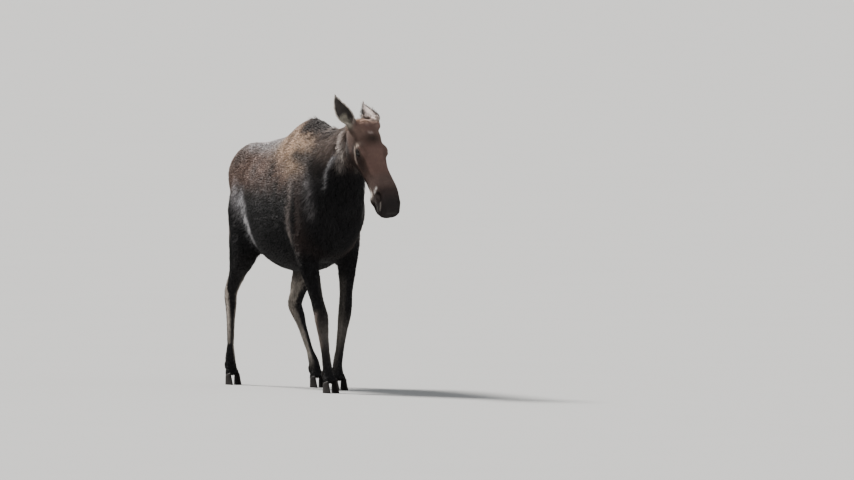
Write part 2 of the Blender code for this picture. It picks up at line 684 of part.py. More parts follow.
# ---------------------------------------------------------------- parting the skin into nodes


def slab(centre, normal, across, long_half, wide_half):
    """A thin plate: its middle, the way it faces, one of its own edges, and its two half sizes."""
    normal = Vector(normal).normalized()
    across = (Vector(across) - normal * normal.dot(Vector(across))).normalized()
    along = normal.cross(across)
    centre = Vector(centre)
    corners = [
        centre + across * (a * wide_half) + along * (b * long_half) + normal * (c * CUT / 2)
        for a in (-1, 1)
        for b in (-1, 1)
        for c in (-1, 1)
    ]
    faces = [(0, 1, 3, 2), (4, 6, 7, 5), (0, 4, 5, 1), (2, 3, 7, 6), (0, 2, 6, 4), (1, 5, 7, 3)]
    return new_object("slab", corners, faces)


def direction(a, b):
    return (Vector(b) - Vector(a)).normalized()


def leg_slabs(joints, bend, top_height):
    """The cuts of one leg: where it leaves the body, at its bend, at the fetlock and the hoof."""
    side = math.copysign(1, joints[bend][0])
    upper = joints["elbow"] if "elbow" in joints else joints["stifle"]
    share = (upper[2] - top_height) / (upper[2] - joints[bend][2])
    top = between(upper, joints[bend], share)
    knee, fetlock, coronet = joints[bend], joints["fetlock"], joints["coronet"]
    down = direction(knee, fetlock)
    below_knee = between(knee, fetlock, 0.16)
    below_fetlock = between(fetlock, coronet, 0.30)
    return [
        slab((0.205 * side, top[1] + 0.030, top[2]), (0, 0, 1), (1, 0, 0), 0.210, 0.190),
        slab(below_knee, down, (1, 0, 0), 0.10, 0.09),
        slab(below_fetlock, direction(fetlock, coronet), (1, 0, 0), 0.09, 0.075),
        slab(shifted(coronet, z=-CUT / 2), (0, CORONET_SLOPE, 1), (1, 0, 0), 0.09, 0.075),
    ]


def cut_slabs():
    """Every cut through the flesh."""
    slabs = []
    for joints in FORELEGS.values():
        slabs += leg_slabs(joints, "knee", CHEST_HEIGHT - 0.020)
    for joints in HINDLEGS.values():
        slabs += leg_slabs(joints, "hock", BELLY_HEIGHT - 0.012)
    slabs.append(slab((0, -0.730, 1.420), (0, -1.0, 0.42), (1, 0, 0), 0.46, 0.40))
    to_head = Matrix.Rotation(HEAD_TURN * 0.6, 3, "Z") @ Vector((0, -0.941, -0.338))
    slabs.append(slab((0.027, -0.985, 1.615), to_head, (1, 0, 0), 0.175, 0.20))
    return slabs


def difference(obj, cutter):
    """Cuts one closed mesh out of another, with the exact solver."""
    boolean = obj.modifiers.new("cut", "BOOLEAN")
    boolean.operation = "DIFFERENCE"
    boolean.solver = "EXACT"
    boolean.object = cutter
    mesh = applied(obj)
    obj.modifiers.clear()
    obj.data = mesh
    bpy.data.objects.remove(cutter)


def joined(objects):
    """One object of several, each still its own shell."""
    work = bmesh.new()
    for obj in objects:
        work.from_mesh(obj.data)
    mesh = bpy.data.meshes.new("joined")
    work.to_mesh(mesh)
    work.free()
    for obj in objects:
        bpy.data.objects.remove(obj)
    made = bpy.data.objects.new("joined", mesh)
    bpy.context.scene.collection.objects.link(made)
    return made


def seeds():
    """A point in the middle of each node of flesh."""
    points = {
        "trunk": (0, 0.1, 1.2),
        "neck": (0, -0.86, 1.5),
        "head": tuple(on_head(0, 0.2, -0.08)),
    }
    for name, joints in FORELEGS.items():
        points[name + "_upper"] = between(joints["elbow"], joints["knee"], 0.6)
        points[name + "_lower"] = between(joints["knee"], joints["fetlock"], 0.6)
        points[name + "_foot"] = between(joints["fetlock"], joints["coronet"], 0.7)
    for name, joints in HINDLEGS.items():
        points[name + "_upper"] = between(joints["stifle"], joints["hock"], 0.8)
        points[name + "_lower"] = between(joints["hock"], joints["fetlock"], 0.6)
        points[name + "_foot"] = between(joints["fetlock"], joints["coronet"], 0.7)
    return points


def islands(mesh):
    """The separate shells of a mesh, as a label for each vertex."""
    label = np.arange(len(mesh.vertices))
    edges = np.empty(len(mesh.edges) * 2, np.int64)
    mesh.edges.foreach_get("vertices", edges)
    a, b = edges.reshape(-1, 2).T
    while True:
        low = np.minimum(label[a], label[b])
        before = label.copy()
        np.minimum.at(label, a, low)
        np.minimum.at(label, b, low)
        label = label[label]
        if (label == before).all():
            return label


def parted(flesh):
    """One object for each node of flesh: the shell whose skin comes nearest to its seed."""
    mesh = flesh.data
    points = read_points(mesh)
    label = islands(mesh)
    faces = [tuple(poly.vertices) for poly in mesh.polygons]
    made = {}
    for name, seed in seeds().items():
        nearest = np.linalg.norm(points - np.array(seed), axis=1).argmin()
        keep = np.flatnonzero(label == label[nearest])
        index = np.full(len(points), -1)
        index[keep] = np.arange(len(keep))
        chosen = [tuple(int(index[i]) for i in face) for face in faces if index[face[0]] >= 0]
        made[name] = new_object(name, points[keep], chosen)
    bpy.data.objects.remove(flesh)
    return made


def eye_centre(side):
    return on_head(0.0965 * side, 0.217, -0.047)


# ---------------------------------------------------------------- the whole animal


def colour(obj, key, roughness, coat=0.0):
    """Gives an object a material of its own."""
    material = bpy.data.materials.new(obj.name)
    material.use_nodes = True
    shader = material.node_tree.nodes["Principled BSDF"]
    shader.inputs["Base Color"].default_value = (*COLOURS[key], 1)
    shader.inputs["Roughness"].default_value = roughness
    shader.inputs["Metallic"].default_value = 0.0
    shader.inputs["Coat Weight"].default_value = coat
    material.diffuse_color = (*COLOURS[key], 1)
    obj.data.materials.clear()
    obj.data.materials.append(material)


def stand_on_origin(objects):
    """Puts the middle of the whole box over the origin, with the soles on the floor."""
    corners = np.vstack([read_points(obj.data) for obj in objects])
    middle = (corners.min(0) + corners.max(0)) / 2
    for obj in objects:
        write_points(obj.data, read_points(obj.data) - np.array((middle[0], middle[1], 0)))


def build():
    for obj in list(bpy.data.objects):
        bpy.data.objects.remove(obj)
    forms = trunk_forms() + neck_forms() + head_forms()
    for joints in FORELEGS.values():
        forms += foreleg_forms(joints)
    for joints in HINDLEGS.values():
        forms += hindleg_forms(joints)
    flesh = melted(forms)
    stroke_head(flesh.data)
    thinned(flesh, BODY_TRIANGLES, FACE_TRIANGLES)
    difference(flesh, joined(cut_slabs()))
    nodes = parted(flesh)
    for name, obj in nodes.items():
        key = name if name in COLOURS else "leg"
        colour(obj, key, 0.85)
    for side, word in ((1, "left"), (-1, "right")):
        nodes["ear_" + word] = ear_object(side)
        for piece in ("head", "neck"):
            difference(nodes[piece], ear_seat(side))
        colour(nodes["ear_" + word], "ear", 0.85)
        socket = new_object("socket", *ball(eye_centre(side), [EYE_RADIUS + SNUG] * 3, HEAD, 12))
        difference(nodes["head"], socket)
        eye = new_object("eye_" + word, *ball(eye_centre(side), [EYE_RADIUS] * 3, HEAD, 12))
        colour(eye, "eye", 0.08, coat=1.0)
        nodes[eye.name] = eye
    difference(nodes["trunk"], tail_object("socket", SNUG))
    nodes["tail"] = tail_object("tail")
    colour(nodes["tail"], "tail", 0.85)
    for name, joints in (*FORELEGS.items(), *HINDLEGS.items()):
        out = math.copysign(1, joints["coronet"][0])
        length = TOE_LENGTH if name in FORELEGS else TOE_LENGTH - 0.008
        for word, side in (("outer", out), ("inner", -out)):
            hoof = toe_object(f"{name}_hoof_{word}", joints["coronet"], side, 0.06 * side, length)
            colour(hoof, "hoof", 0.45)
            nodes[hoof.name] = hoof
            for piece in ("_foot", "_lower"):
                socket = dewclaw_object("socket", joints["fetlock"], side, SNUG)
                difference(nodes[name + piece], socket)
            claw = dewclaw_object(f"{name}_dewclaw_{word}", joints["fetlock"], side)
            colour(claw, "hoof", 0.45)
            nodes[claw.name] = claw
    stand_on_origin(list(nodes.values()))
    for obj in nodes.values():
        obj.data.shade_smooth()
        obj.data.set_sharp_from_angle(angle=math.radians(50))


build()
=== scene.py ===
"""A cow moose in mid stride, as a still model of life size: its hide, coat, eyes, hooves and setting.

The solids give every place and size, in metres, with +Z up; the animal faces -Y and its left side is
at +X. The hide follows the solids, lower by the depth of the hair, and the hair reaches back out.
"""

import math

import bmesh
import bpy
import numpy as np
from mathutils import Matrix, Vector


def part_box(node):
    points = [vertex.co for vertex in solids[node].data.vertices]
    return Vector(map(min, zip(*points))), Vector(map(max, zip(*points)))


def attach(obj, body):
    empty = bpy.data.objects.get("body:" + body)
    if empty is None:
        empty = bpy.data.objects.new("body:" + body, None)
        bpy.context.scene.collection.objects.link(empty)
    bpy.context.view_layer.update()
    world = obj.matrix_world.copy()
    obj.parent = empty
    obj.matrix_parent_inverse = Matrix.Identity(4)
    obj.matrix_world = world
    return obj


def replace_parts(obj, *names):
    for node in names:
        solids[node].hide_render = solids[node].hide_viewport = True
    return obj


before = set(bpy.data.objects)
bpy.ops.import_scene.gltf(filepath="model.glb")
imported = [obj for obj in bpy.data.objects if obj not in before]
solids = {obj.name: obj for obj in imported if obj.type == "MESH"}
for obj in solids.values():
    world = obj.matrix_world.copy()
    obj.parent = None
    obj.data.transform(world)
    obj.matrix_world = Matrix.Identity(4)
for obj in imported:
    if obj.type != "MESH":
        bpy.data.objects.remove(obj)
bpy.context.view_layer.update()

# ------------------------ the hide
# One unbroken hide from the lips to the coronets and the tips of the ears. It is the surface of all
# the solids of flesh at once, evened out, carved at the eyes, the nostrils and the lips, and then
# sunk by the depth of the hair that will cover it.

HIDE_STEP = 0.0052  # edge length of the hide's first mesh
HIDE_FACES = 185000
ROUNDS_OVER_ALL, ROUNDS_ON_THE_BODY = 6, 36  # how often the hide's facets are evened out
HEAD_DOWN = math.radians(60)  # the slope of the face below level
HEAD_TURN = math.radians(18)  # towards the animal's left
EYE_ON_HEAD = (0.217, -0.047)  # how far the eyes lie down the face from the poll, and above it
FLESH = [name for name in sorted(solids) if "hoof" not in name and "dewclaw" not in name]


def unit(v):
    """Vectors scaled to a length of one."""
    v = np.asarray(v, float)
    return v / np.maximum(np.linalg.norm(v, axis=-1, keepdims=True), 1e-12)


def middle(name):
    """The middle of a solid's box."""
    low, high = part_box(name)
    return (np.array(low) + np.array(high)) / 2


def corners(name):
    """A solid's corner points, as rows."""
    mesh = solids[name].data
    flat = np.empty(len(mesh.vertices) * 3, np.float32)
    mesh.vertices.foreach_get("co", flat)
    return np.unique(flat.reshape(-1, 3).astype(float).round(6), axis=0)


turned = np.array([math.sin(HEAD_TURN), -math.cos(HEAD_TURN), 0])
HEAD_AXES = np.array([
    [math.cos(HEAD_TURN), math.sin(HEAD_TURN), 0],
    turned * math.cos(HEAD_DOWN) - np.array([0, 0, math.sin(HEAD_DOWN)]),
    turned * math.sin(HEAD_DOWN) + np.array([0, 0, math.cos(HEAD_DOWN)]),
])
EYES = {1: middle("eye_left"), -1: middle("eye_right")}
POLL = (EYES[1] + EYES[-1]) / 2 - np.array(EYE_ON_HEAD) @ HEAD_AXES[1:]


def in_head(points):
    """Points as (left of the face's middle, down the face, out of the brow), from the poll."""
    return (np.asarray(points) - POLL) @ HEAD_AXES.T


def on_head(left, down, out):
    """The point with those three distances."""
    return POLL + np.array([left, down, out]) @ HEAD_AXES


def ramp(values, low, high):
    """0 below low, 1 above high, and an eased slope between; low may be the larger."""
    share = np.clip((np.asarray(values, float) - low) / (high - low), 0, 1)
    return share * share * (3 - 2 * share)


def bump(points, centre, radii):
    """1 at the centre, falling off like a bell by its radii."""
    return np.exp(-(((points - np.array(centre)) / np.array(radii)) ** 2).sum(-1))


def stroke(points, path, reach):
    """1 on a path of straight stretches, falling off like a bell within reach of it."""
    least = np.full(len(points), np.inf)
    for start, end in zip(np.array(path[:-1]), np.array(path[1:])):
        way = end - start
        along = np.clip((points - start) @ way / (way @ way), 0, 1)
        least = np.minimum(least, np.linalg.norm(points - start - along[:, None] * way, axis=1))
    return np.exp(-((least / reach) ** 2))


def wave(points, pitch, seed):
    """A smooth uneven field between about -1 and 1: a sum of plane waves in seeded directions."""
    draw = np.random.default_rng(seed)
    heading = unit(draw.normal(size=(14, 3)))
    rate = 2 * np.pi / pitch * draw.uniform(0.6, 1.6, 14)
    phase = draw.uniform(0, 2 * np.pi, 14)
    total = np.zeros(len(points))
    for way, speed, start in zip(heading, rate, phase):
        total += np.sin(points @ way * speed + start)
    return total / 4


def added(name, data):
    """A new object in the scene."""
    made = bpy.data.objects.new(name, data)
    bpy.context.scene.collection.objects.link(made)
    return made


def new_piece(name, points, faces):
    """A mesh object at the origin from points and faces; faces may be rows of one length."""
    mesh = bpy.data.meshes.new(name)
    if isinstance(faces, np.ndarray):
        mesh.vertices.add(len(points))
        mesh.vertices.foreach_set("co", np.asarray(points, np.float32).ravel())
        mesh.loops.add(faces.size)
        mesh.loops.foreach_set("vertex_index", faces.astype(np.int32).ravel())
        mesh.polygons.add(len(faces))
        mesh.polygons.foreach_set("loop_start", np.arange(0, faces.size, faces.shape[1], dtype=np.int32))
        mesh.update(calc_edges=True)
        mesh.validate()
    else:
        mesh.from_pydata([tuple(p) for p in points], [], faces)
    mesh.shade_smooth()
    return added(name, mesh)


def settled(piece):
    """The piece with its modifiers worked into its mesh."""
    shown = piece.evaluated_get(bpy.context.evaluated_depsgraph_get())
    mesh = bpy.data.meshes.new_from_object(shown)
    piece.modifiers.clear()
    piece.data = mesh
    return piece


def read(mesh):
    """A mesh's points, their normals and its edges, as arrays."""
    points = np.empty(len(mesh.vertices) * 3)
    normals = np.empty(len(mesh.vertices) * 3)
    edges = np.empty(len(mesh.edges) * 2, np.int64)
    mesh.vertices.foreach_get("co", points)
    mesh.vertices.foreach_get("normal", normals)
    mesh.edges.foreach_get("vertices", edges)
    return points.reshape(-1, 3), normals.reshape(-1, 3), edges.reshape(-1, 2)


def write(mesh, points):
    """Puts points back into a mesh."""
    mesh.vertices.foreach_set("co", points.astype(np.float32).ravel())
    mesh.update()


def drawn_in(points, edges, share):
    """Each point moved by its share of the way to the middle of its neighbours."""
    one, other = edges.T
    count = np.bincount(one, minlength=len(points)) + np.bincount(other, minlength=len(points))
    total = np.stack([
        np.bincount(one, points[other, k], len(points)) + np.bincount(other, points[one, k], len(points))
        for k in range(points.shape[1])
    ], -1)
    return points + share[:, None] * (total / np.maximum(count, 1)[:, None] - points)


def evened(points, edges, rounds, share):
    """Rounds of drawing in and letting out again, which takes off facets and keeps the girth."""
    for _ in range(rounds):
        points = drawn_in(points, edges, 0.62 * share)
        points = drawn_in(points, edges, -0.64 * share)
    return points


def nearness(points):
    """For each point, its distance to every solid of flesh, one column for each."""
    found = np.empty((len(points), len(FLESH)), np.float32)
    near = points.astype(np.float32)
    square = (near**2).sum(1)
    for column, name in enumerate(FLESH):
        spots = corners(name).astype(np.float32)
        apart = (spots**2).sum(1)[:, None] - 2 * spots @ near.T
        found[:, column] = np.sqrt(np.maximum(apart.min(0) + square, 0))
    return found


whole = bmesh.new()
for name in FLESH:
    whole.from_mesh(solids[name].data)
bmesh.ops.remove_doubles(whole, verts=whole.verts, dist=1e-5)
hide = new_piece("hide", np.zeros((0, 3)), [])
whole.to_mesh(hide.data)
whole.free()
remesh = hide.modifiers.new("one skin", "REMESH")
remesh.mode = "VOXEL"
remesh.voxel_size = HIDE_STEP
settled(hide)

points, normals, edges = read(hide.data)
local = in_head(points)
face = ramp(np.linalg.norm(local - (0, 0.33, -0.09), axis=1), 0.42, 0.33)
limb = np.maximum(ramp(points[:, 2], 0.80, 0.62), ramp(local[:, 1], -0.02, 0.02) * face)
points = evened(points, edges, ROUNDS_OVER_ALL, np.full(len(points), 1.0))
points = evened(points, edges, ROUNDS_ON_THE_BODY, 1 - 0.85 * np.maximum(limb, face))

# Where the eyes open, the hide dips behind the ball; the lids, made further on, bridge the edge. The
# nostrils are commas with raised rims, the cheeks have a ridge each, and the lips meet in a groove.
EYE_RADIUS = float(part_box("eye_left")[1][2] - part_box("eye_left")[0][2]) / 2
BEHIND_EYE = 0.0035
NOSTRIL = [(0.079, 0.506, -0.044), (0.080, 0.520, -0.028), (0.079, 0.545, -0.024), (0.078, 0.570, -0.034)]
NOSTRIL_REACH, NOSTRIL_RIM_REACH = 0.0095, 0.020
NOSTRIL_DEPTH, NOSTRIL_RIM = 0.021, 0.0050
CHEEK_RIDGE, LIP_GROOVE = 0.006, 0.0070


def by_nostril(nose, reach):
    """1 along the middle of a nostril, falling off like a bell; nose is in the head's distances, with
    the nostril's own side as its first, which counts for less than the others."""
    return stroke(nose * (0.6, 1, 1), np.array(NOSTRIL) * (0.6, 1, 1), reach)


for side, centre in EYES.items():
    off = points - centre
    reach = np.linalg.norm(off, axis=1)
    lowered = np.minimum(reach, EYE_RADIUS - BEHIND_EYE)
    share = ramp(reach, EYE_RADIUS * 1.75, EYE_RADIUS * 1.15)
    points = centre + off * ((reach + (lowered - reach) * share) / reach)[:, None]
    nose = in_head(points) * (side, 1, 1)
    comma = by_nostril(nose, NOSTRIL_REACH)
    raised = NOSTRIL_RIM * by_nostril(nose, NOSTRIL_RIM_REACH) * (1 - comma)
    raised += CHEEK_RIDGE * bump(nose, (0.084, 0.290, -0.030), (0.024, 0.032, 0.024))
    groove = LIP_GROOVE * bump(nose * (0, 1, 1), (0, 0.585, -0.131), (1, 0.070, 0.0050))
    points += (raised - NOSTRIL_DEPTH * comma - groove)[:, None] * normals
write(hide.data, points)

# The body's broad faces can be far larger than the face's and the ears', so it is thinned alone.
quads = len(hide.data.polygons)
reach = np.linalg.norm(in_head(points) - (0, 0.30, -0.05), axis=1)
broad = (reach > 0.47) & (points[:, 2] > 0.15)
group = hide.vertex_groups.new(name="broad")
group.add(np.flatnonzero(broad).tolist(), 1.0, "REPLACE")
hide.modifiers.new("triangles", "TRIANGULATE")
thin = hide.modifiers.new("thin", "DECIMATE")
thin.ratio = HIDE_FACES / (2 * quads)
thin.vertex_group = group.name
settled(hide)
hide.vertex_groups.clear()
points, normals, edges = read(hide.data)

# ---- how the hair lies: its length, width and depth in metres on each kind of flesh, and how many
# locks there are to a square metre; it lies back along the body, down the limbs and up the face.
HAIR = {
    "trunk": (0.044, 0.0044, 0.0120, 19800),
    "neck": (0.056, 0.0044, 0.0170, 32000),
    "head": (0.0115, 0.0019, 0.0024, 84000),
    "eye": (0.0100, 0.0022, 0.0018, 30000),
    "ear": (0.0150, 0.0021, 0.0018, 60000),
    "tail": (0.048, 0.0050, 0.0120, 26000),
    "upper": (0.024, 0.0036, 0.0044, 24000),
    "lower": (0.015, 0.0030, 0.0026, 30000),
    "foot": (0.021, 0.0030, 0.0030, 36000),
}
RUNS_OVER = 0.016  # how far one kind of hair runs over into the next
KINDS = [name.split("_")[-1] if "leg" in name else name.split("_")[0] for name in FLESH]
NECK_WAY = unit([0, 0.72, -0.70])
TAIL_WAY = [0, 0.1, -1.0]
EAR_WAYS = {
    "ear_right": unit([-0.125, -0.050, 0.180]),
    "ear_left": unit([-0.004, 0.185, 0.122]),
}


def limb_way(name):
    """The way a stretch of leg runs, from the middle of its top to the middle of its foot."""
    spots = corners(name)
    order = spots[:, 2].argsort()
    end = max(4, len(order) // 7)
    return unit(spots[order[:end]].mean(0) - spots[order[-end:]].mean(0))


def body_lie(points):
    """The way the body's hair lies: back along the barrel, down the chest, the flanks and the rump."""
    x, y, z = points.T
    breast = ramp(y, -0.30, -0.58)
    haunch = ramp(y, 0.45, 0.95)
    low = ramp(z, 1.50, 1.05)
    belly = ramp(z, 0.86, 0.79)
    back = 1 - 0.85 * breast - 0.55 * haunch * low
    down = 0.12 + 0.42 * low + 0.55 * breast + 0.50 * haunch * low - 0.6 * belly * (1 - breast)
    return unit(np.stack([0.10 * np.sign(x) * (1 - low), back, -down], -1))


def face_lie(points):
    """The way the face's hair lies: up from the nose to the crown, parting down the cheeks."""
    left, down, out = in_head(points).T
    ways = np.stack([
        0.45 * np.sign(left) * ramp(np.abs(left), 0, 0.05) * ramp(down, 0.62, 0.40),
        -np.ones(len(points)),
        -0.35 * ramp(out, -0.02, -0.12) * ramp(down, 0.05, 0.20),
    ], -1)
    return unit(ways @ HEAD_AXES)


def lie_on(points):
    """The hair's way by each solid of flesh, one row of ways for each."""
    ways = {"trunk": body_lie(points), "head": face_lie(points), "neck": NECK_WAY, "tail": TAIL_WAY}
    ways.update({"eye": ways["head"], **EAR_WAYS})
    found = [ways.get(kind, ways.get(name)) for name, kind in zip(FLESH, KINDS)]
    return np.stack([
        np.broadcast_to(limb_way(name) if way is None else way, points.shape)
        for name, way in zip(FLESH, found)
    ])


def flattened(ways, normals):
    """Ways with their part along the surface's normal taken out, at a length of one."""
    return unit(ways - normals * (ways * normals).sum(-1, keepdims=True))


def share_of(share, *kinds):
    """How much of each point belongs to the solids of these kinds."""
    return share[:, [column for column, kind in enumerate(KINDS) if kind in kinds]].sum(1)


near = nearness(points)
share = np.exp(-(near - near.min(1, keepdims=True)) / RUNS_OVER)
share /= share.sum(1, keepdims=True)
lie = np.einsum("pn,npk->pk", share, lie_on(points))
lie = flattened(unit(lie) + 0.10 * np.stack([wave(points, 0.22, k) for k in (1, 2, 3)], -1), normals)
long, wide, deep, dense = (share @ np.array([HAIR[kind] for kind in KINDS])).T

# The crest of the hump and the top of the neck carry a mane; the muzzle is all but bare.
x, y, z = points.T
left, down, out = in_head(points).T
on_head_share = share_of(share, "head", "eye")
mane = ramp(z, 1.52, 1.68) * ramp(y, 0.15, -0.10) * (1 - on_head_share) * share_of(share, "trunk", "neck")
brisket = ramp(y, -0.32, -0.50) * ramp(z, 1.45, 1.20) * ramp(z, 0.85, 1.0)
muzzle = on_head_share * ramp(down, 0.42, 0.58)
long = long * (1 + 0.50 * mane + 0.30 * brisket) * (1 - 0.45 * muzzle)
deep = deep * (1 + 0.40 * mane + 0.30 * brisket) * (1 - 0.60 * muzzle)
wide = wide * (1 + 0.15 * mane) * (1 - 0.25 * muzzle)
crown = on_head_share * ramp(down, 0.07, 0.0)
long = long * (1 + 1.2 * crown)
deep = deep * (1 + 1.5 * crown)
write(hide.data, points - normals * deep[:, None])
points, normals, edges = read(hide.data)

# ---- the coat's colours: a dark brown coat with a tan hump, a dark crest, near black below, a greyer neck,
# a red-brown face and pale insides of the ears and backs of the legs. Over these lies painted light: a grey
# sheen on the back, pale sheen strips on the neck, the shoulder and the thigh, rim light on the crown, the
# rump and the rear edges of the hind legs, a lighter front of the face, and highlights on the nostrils, the
# lips and the cheeks. There is also painted shade in the right ear's hollow, in the cheeks and under the jaw.
# The places are in metres, on the right side of the body, or on the face from its middle, down it and out of
# it.
TINTS = {
    "body": (0.022, 0.015, 0.014),
    "barrel": (0.092, 0.060, 0.050),
    "rump": (0.100, 0.062, 0.048),
    "shoulder": (0.032, 0.023, 0.021),
    # painted sheen: the grey along the top of the back
    "back": (0.25, 0.245, 0.25),
    "hump": (0.37, 0.252, 0.170),
    "nape": (0.085, 0.064, 0.055),
    "crest": (0.014, 0.009, 0.008),
    "belly": (0.0080, 0.0080, 0.0088),
    "chest": (0.0130, 0.0126, 0.0134),
    # pale streaks down the neck: partly pale hair, partly painted sheen
    "nape streaks": (0.17, 0.135, 0.12),
    # painted sheen: a pale strip down the side of the neck behind the head
    "neck strip": (0.80, 0.71, 0.66),
    # painted sheen: the pale grey along the front edge of the thigh
    "thigh": (0.50, 0.49, 0.51),
    "cheek": (0.095, 0.058, 0.047),
    # painted light: the front of the face lighter and redder than its sides
    "face": (0.205, 0.125, 0.102),
    "nose": (0.165, 0.112, 0.095),
    # partly the crown's red-brown hair, partly painted rim light along the top of the head
    "crown": (0.22, 0.125, 0.078),
    "muzzle": (0.050, 0.033, 0.029),
    "lips": (0.0165, 0.0130, 0.0125),
    # painted shade under the jaw
    "jaw": (0.030, 0.020, 0.017),
    "nostril": (0.0035, 0.0030, 0.0030),
    "ear": (0.105, 0.086, 0.074),
    "ear root": (0.52, 0.47, 0.38),
    "leg": (0.0100, 0.0092, 0.0096),
    # painted sheen round the forelegs' cannons
    "shin": (0.075, 0.066, 0.060),
    "back of leg": (0.30, 0.265, 0.230),
    "knee": (0.30, 0.235, 0.20),
}
EAR_ROOTS = {name: on_head(0.090 * side, 0.028, -0.034) + 0.030 * EAR_WAYS[name]
             for name, side in (("ear_left", 1), ("ear_right", -1))}
EAR_OPENINGS = {
    "ear_left": unit(flattened(np.array([-0.10, -0.80, 0.60]), EAR_WAYS["ear_left"])),
    "ear_right": unit(flattened(np.array([-0.30, -0.95, 0.0]), EAR_WAYS["ear_right"])),
}
EAR_COLOURS = {  # the hollow, the rim, and how far the cream at the root shows
    "ear_left": ((0.76, 0.65, 0.60), (0.050, 0.038, 0.033), 0.3),
    # the right ear's hollow is dark with painted shade; the left's is pale
    "ear_right": ((0.072, 0.062, 0.058), (0.66, 0.60, 0.54), 1.0),
}
# the rear edge of each hind leg: its own pale hair, with painted rim light on it
PALE_RIM_LIT_HIND_EDGE = ([(-0.236, 0.975, 0.80), (-0.233, 1.035, 0.70), (-0.226, 1.053, 0.55), (-0.211, 1.073, 0.42),
              (-0.208, 1.088, 0.28)], 0.027)
FORE_KNEE = [(-0.182, -0.525, 0.50), (-0.174, -0.530, 0.40), (-0.167, -0.560, 0.30)]
# painted sheen: the path of the pale grey along the front edge of the thigh
THIGH_SHEEN = [(-0.250, 0.672, 1.220), (-0.250, 0.596, 1.125), (-0.240, 0.558, 1.050), (-0.220, 0.538, 0.965)]
# painted sheen: the path of the pale strip down the neck
NECK_SHEEN_STRIP = [(-0.040, -0.725, 1.668), (-0.050, -0.742, 1.615), (-0.060, -0.720, 1.55), (-0.066, -0.695, 1.45)]
BODY_MARKS_AND_PAINTED_LIGHT = (  # the path of each, its reach, its colour, its strength, and how much it breaks into streaks
    ([(-0.07, 0.08, 1.63), (-0.12, 0.02, 1.60)],
     0.050, (0.085, 0.060, 0.048), 0.75, 0.2),
    ([(-0.158, -0.17, 1.50), (-0.150, -0.35, 1.47), (-0.135, -0.49, 1.43)],
     0.060, (0.015, 0.011, 0.010), 0.97, 0.1),
    ([(-0.230, 0.80, 1.45), (-0.215, 0.67, 1.47)],
     0.050, (0.040, 0.027, 0.023), 0.85, 0.3),
    ([(-0.242, 0.01, 1.32), (-0.257, -0.02, 1.22), (-0.260, -0.03, 1.12)],
     0.045, (0.007, 0.0066, 0.0066), 0.9, 0.1),
    # painted sheen on the point of the shoulder
    ([(-0.178, -0.41, 1.35), (-0.190, -0.44, 1.26), (-0.190, -0.47, 1.17)],
     0.038, (0.185, 0.172, 0.175), 0.85, 0.5),
    # painted sheen down the edge of the shoulder blade
    ([(-0.222, -0.21, 1.35), (-0.238, -0.23, 1.26), (-0.246, -0.22, 1.10), (-0.235, -0.25, 0.98)],
     0.030, (0.185, 0.155, 0.145), 0.80, 0.4),
    # painted sheen: thin pale strands down the side of the neck
    ([(-0.072, -0.67, 1.53), (-0.115, -0.60, 1.43), (-0.112, -0.59, 1.34)],
     0.013, (0.36, 0.35, 0.36), 0.90, 0.5),
    # painted sheen: a broad grey patch on the haunch
    ([(-0.25, 0.79, 1.26), (-0.25, 0.68, 1.17)],
     0.070, (0.30, 0.285, 0.295), 0.60, 0.4),
    # painted rim light down the rear edge of the rump
    ([(-0.20, 1.02, 1.37), (-0.22, 0.98, 1.21), (-0.24, 0.92, 1.03)],
     0.048, (0.24, 0.21, 0.195), 0.75, 0.3),
    # the rear edge of each hind leg: its own pale hair, with painted rim light on it
    (*PALE_RIM_LIT_HIND_EDGE, (0.80, 0.71, 0.63), 0.95, 0.2),
)
FACE_MARKS_AND_SHADE = (  # the middle of each, its reach along each distance, its colour, its strength
    ((0.064, 0.105, -0.025), (0.034, 0.052, 0.060), (0.300, 0.200, 0.160), 0.85),
    ((0.006, 0.148, 0.000), (0.066, 0.046, 0.060), (0.018, 0.014, 0.012), 0.82),
    ((0.009, 0.106, 0.004), (0.011, 0.009, 0.030), (0.480, 0.380, 0.340), 0.9),
    ((0.007, 0.049, 0.004), (0.007, 0.006, 0.030), (0.300, 0.220, 0.190), 0.7),
    ((0.099, 0.212, -0.082), (0.030, 0.050, 0.030), (0.010, 0.008, 0.008), 1.0),
    # painted shade in the hollow of each cheek
    ((0.090, 0.310, -0.085), (0.050, 0.080, 0.040), (0.042, 0.027, 0.023), 0.8),
    ((0.086, 0.215, -0.050), (0.030, 0.070, 0.036), (0.036, 0.023, 0.020), 0.9),
    ((0.098, 0.172, -0.038), (0.030, 0.016, 0.020), (0.520, 0.410, 0.340), 0.9),
    ((0.068, 0.548, -0.045), (0.030, 0.044, 0.032), (0.054, 0.039, 0.036), 0.8),
    ((0.048, 0.480, -0.135), (0.030, 0.032, 0.022), (0.900, 0.800, 0.720), 1.0),
)
FACE_LINES_AND_HIGHLIGHTS = (  # the path of each, its reach, its colour, its strength
    # painted highlight on the rim of each nostril
    ([(0.079, 0.486, -0.024), (0.079, 0.496, -0.040), (0.075, 0.506, -0.062)],
     0.0065, (0.95, 0.86, 0.80), 1.0),
    # painted highlight along the lip
    ([(0.078, 0.580, -0.032), (0.077, 0.605, -0.048), (0.074, 0.628, -0.070)],
     0.0040, (0.30, 0.26, 0.235), 0.9),
    ([(0.076, 0.590, -0.072), (0.074, 0.622, -0.092)],
     0.0035, (0.15, 0.13, 0.12), 0.8),
    # painted highlight down the edge of each cheek below the eye
    ([(0.101, 0.172, -0.070), (0.098, 0.200, -0.088), (0.092, 0.232, -0.108), (0.082, 0.265, -0.126)],
     0.0075, (0.56, 0.46, 0.40), 0.85),
)


def blended(colour, other, share):
    """Rows of colour moved towards another colour by their shares."""
    return colour + (np.array(other) - colour) * np.asarray(share)[:, None]


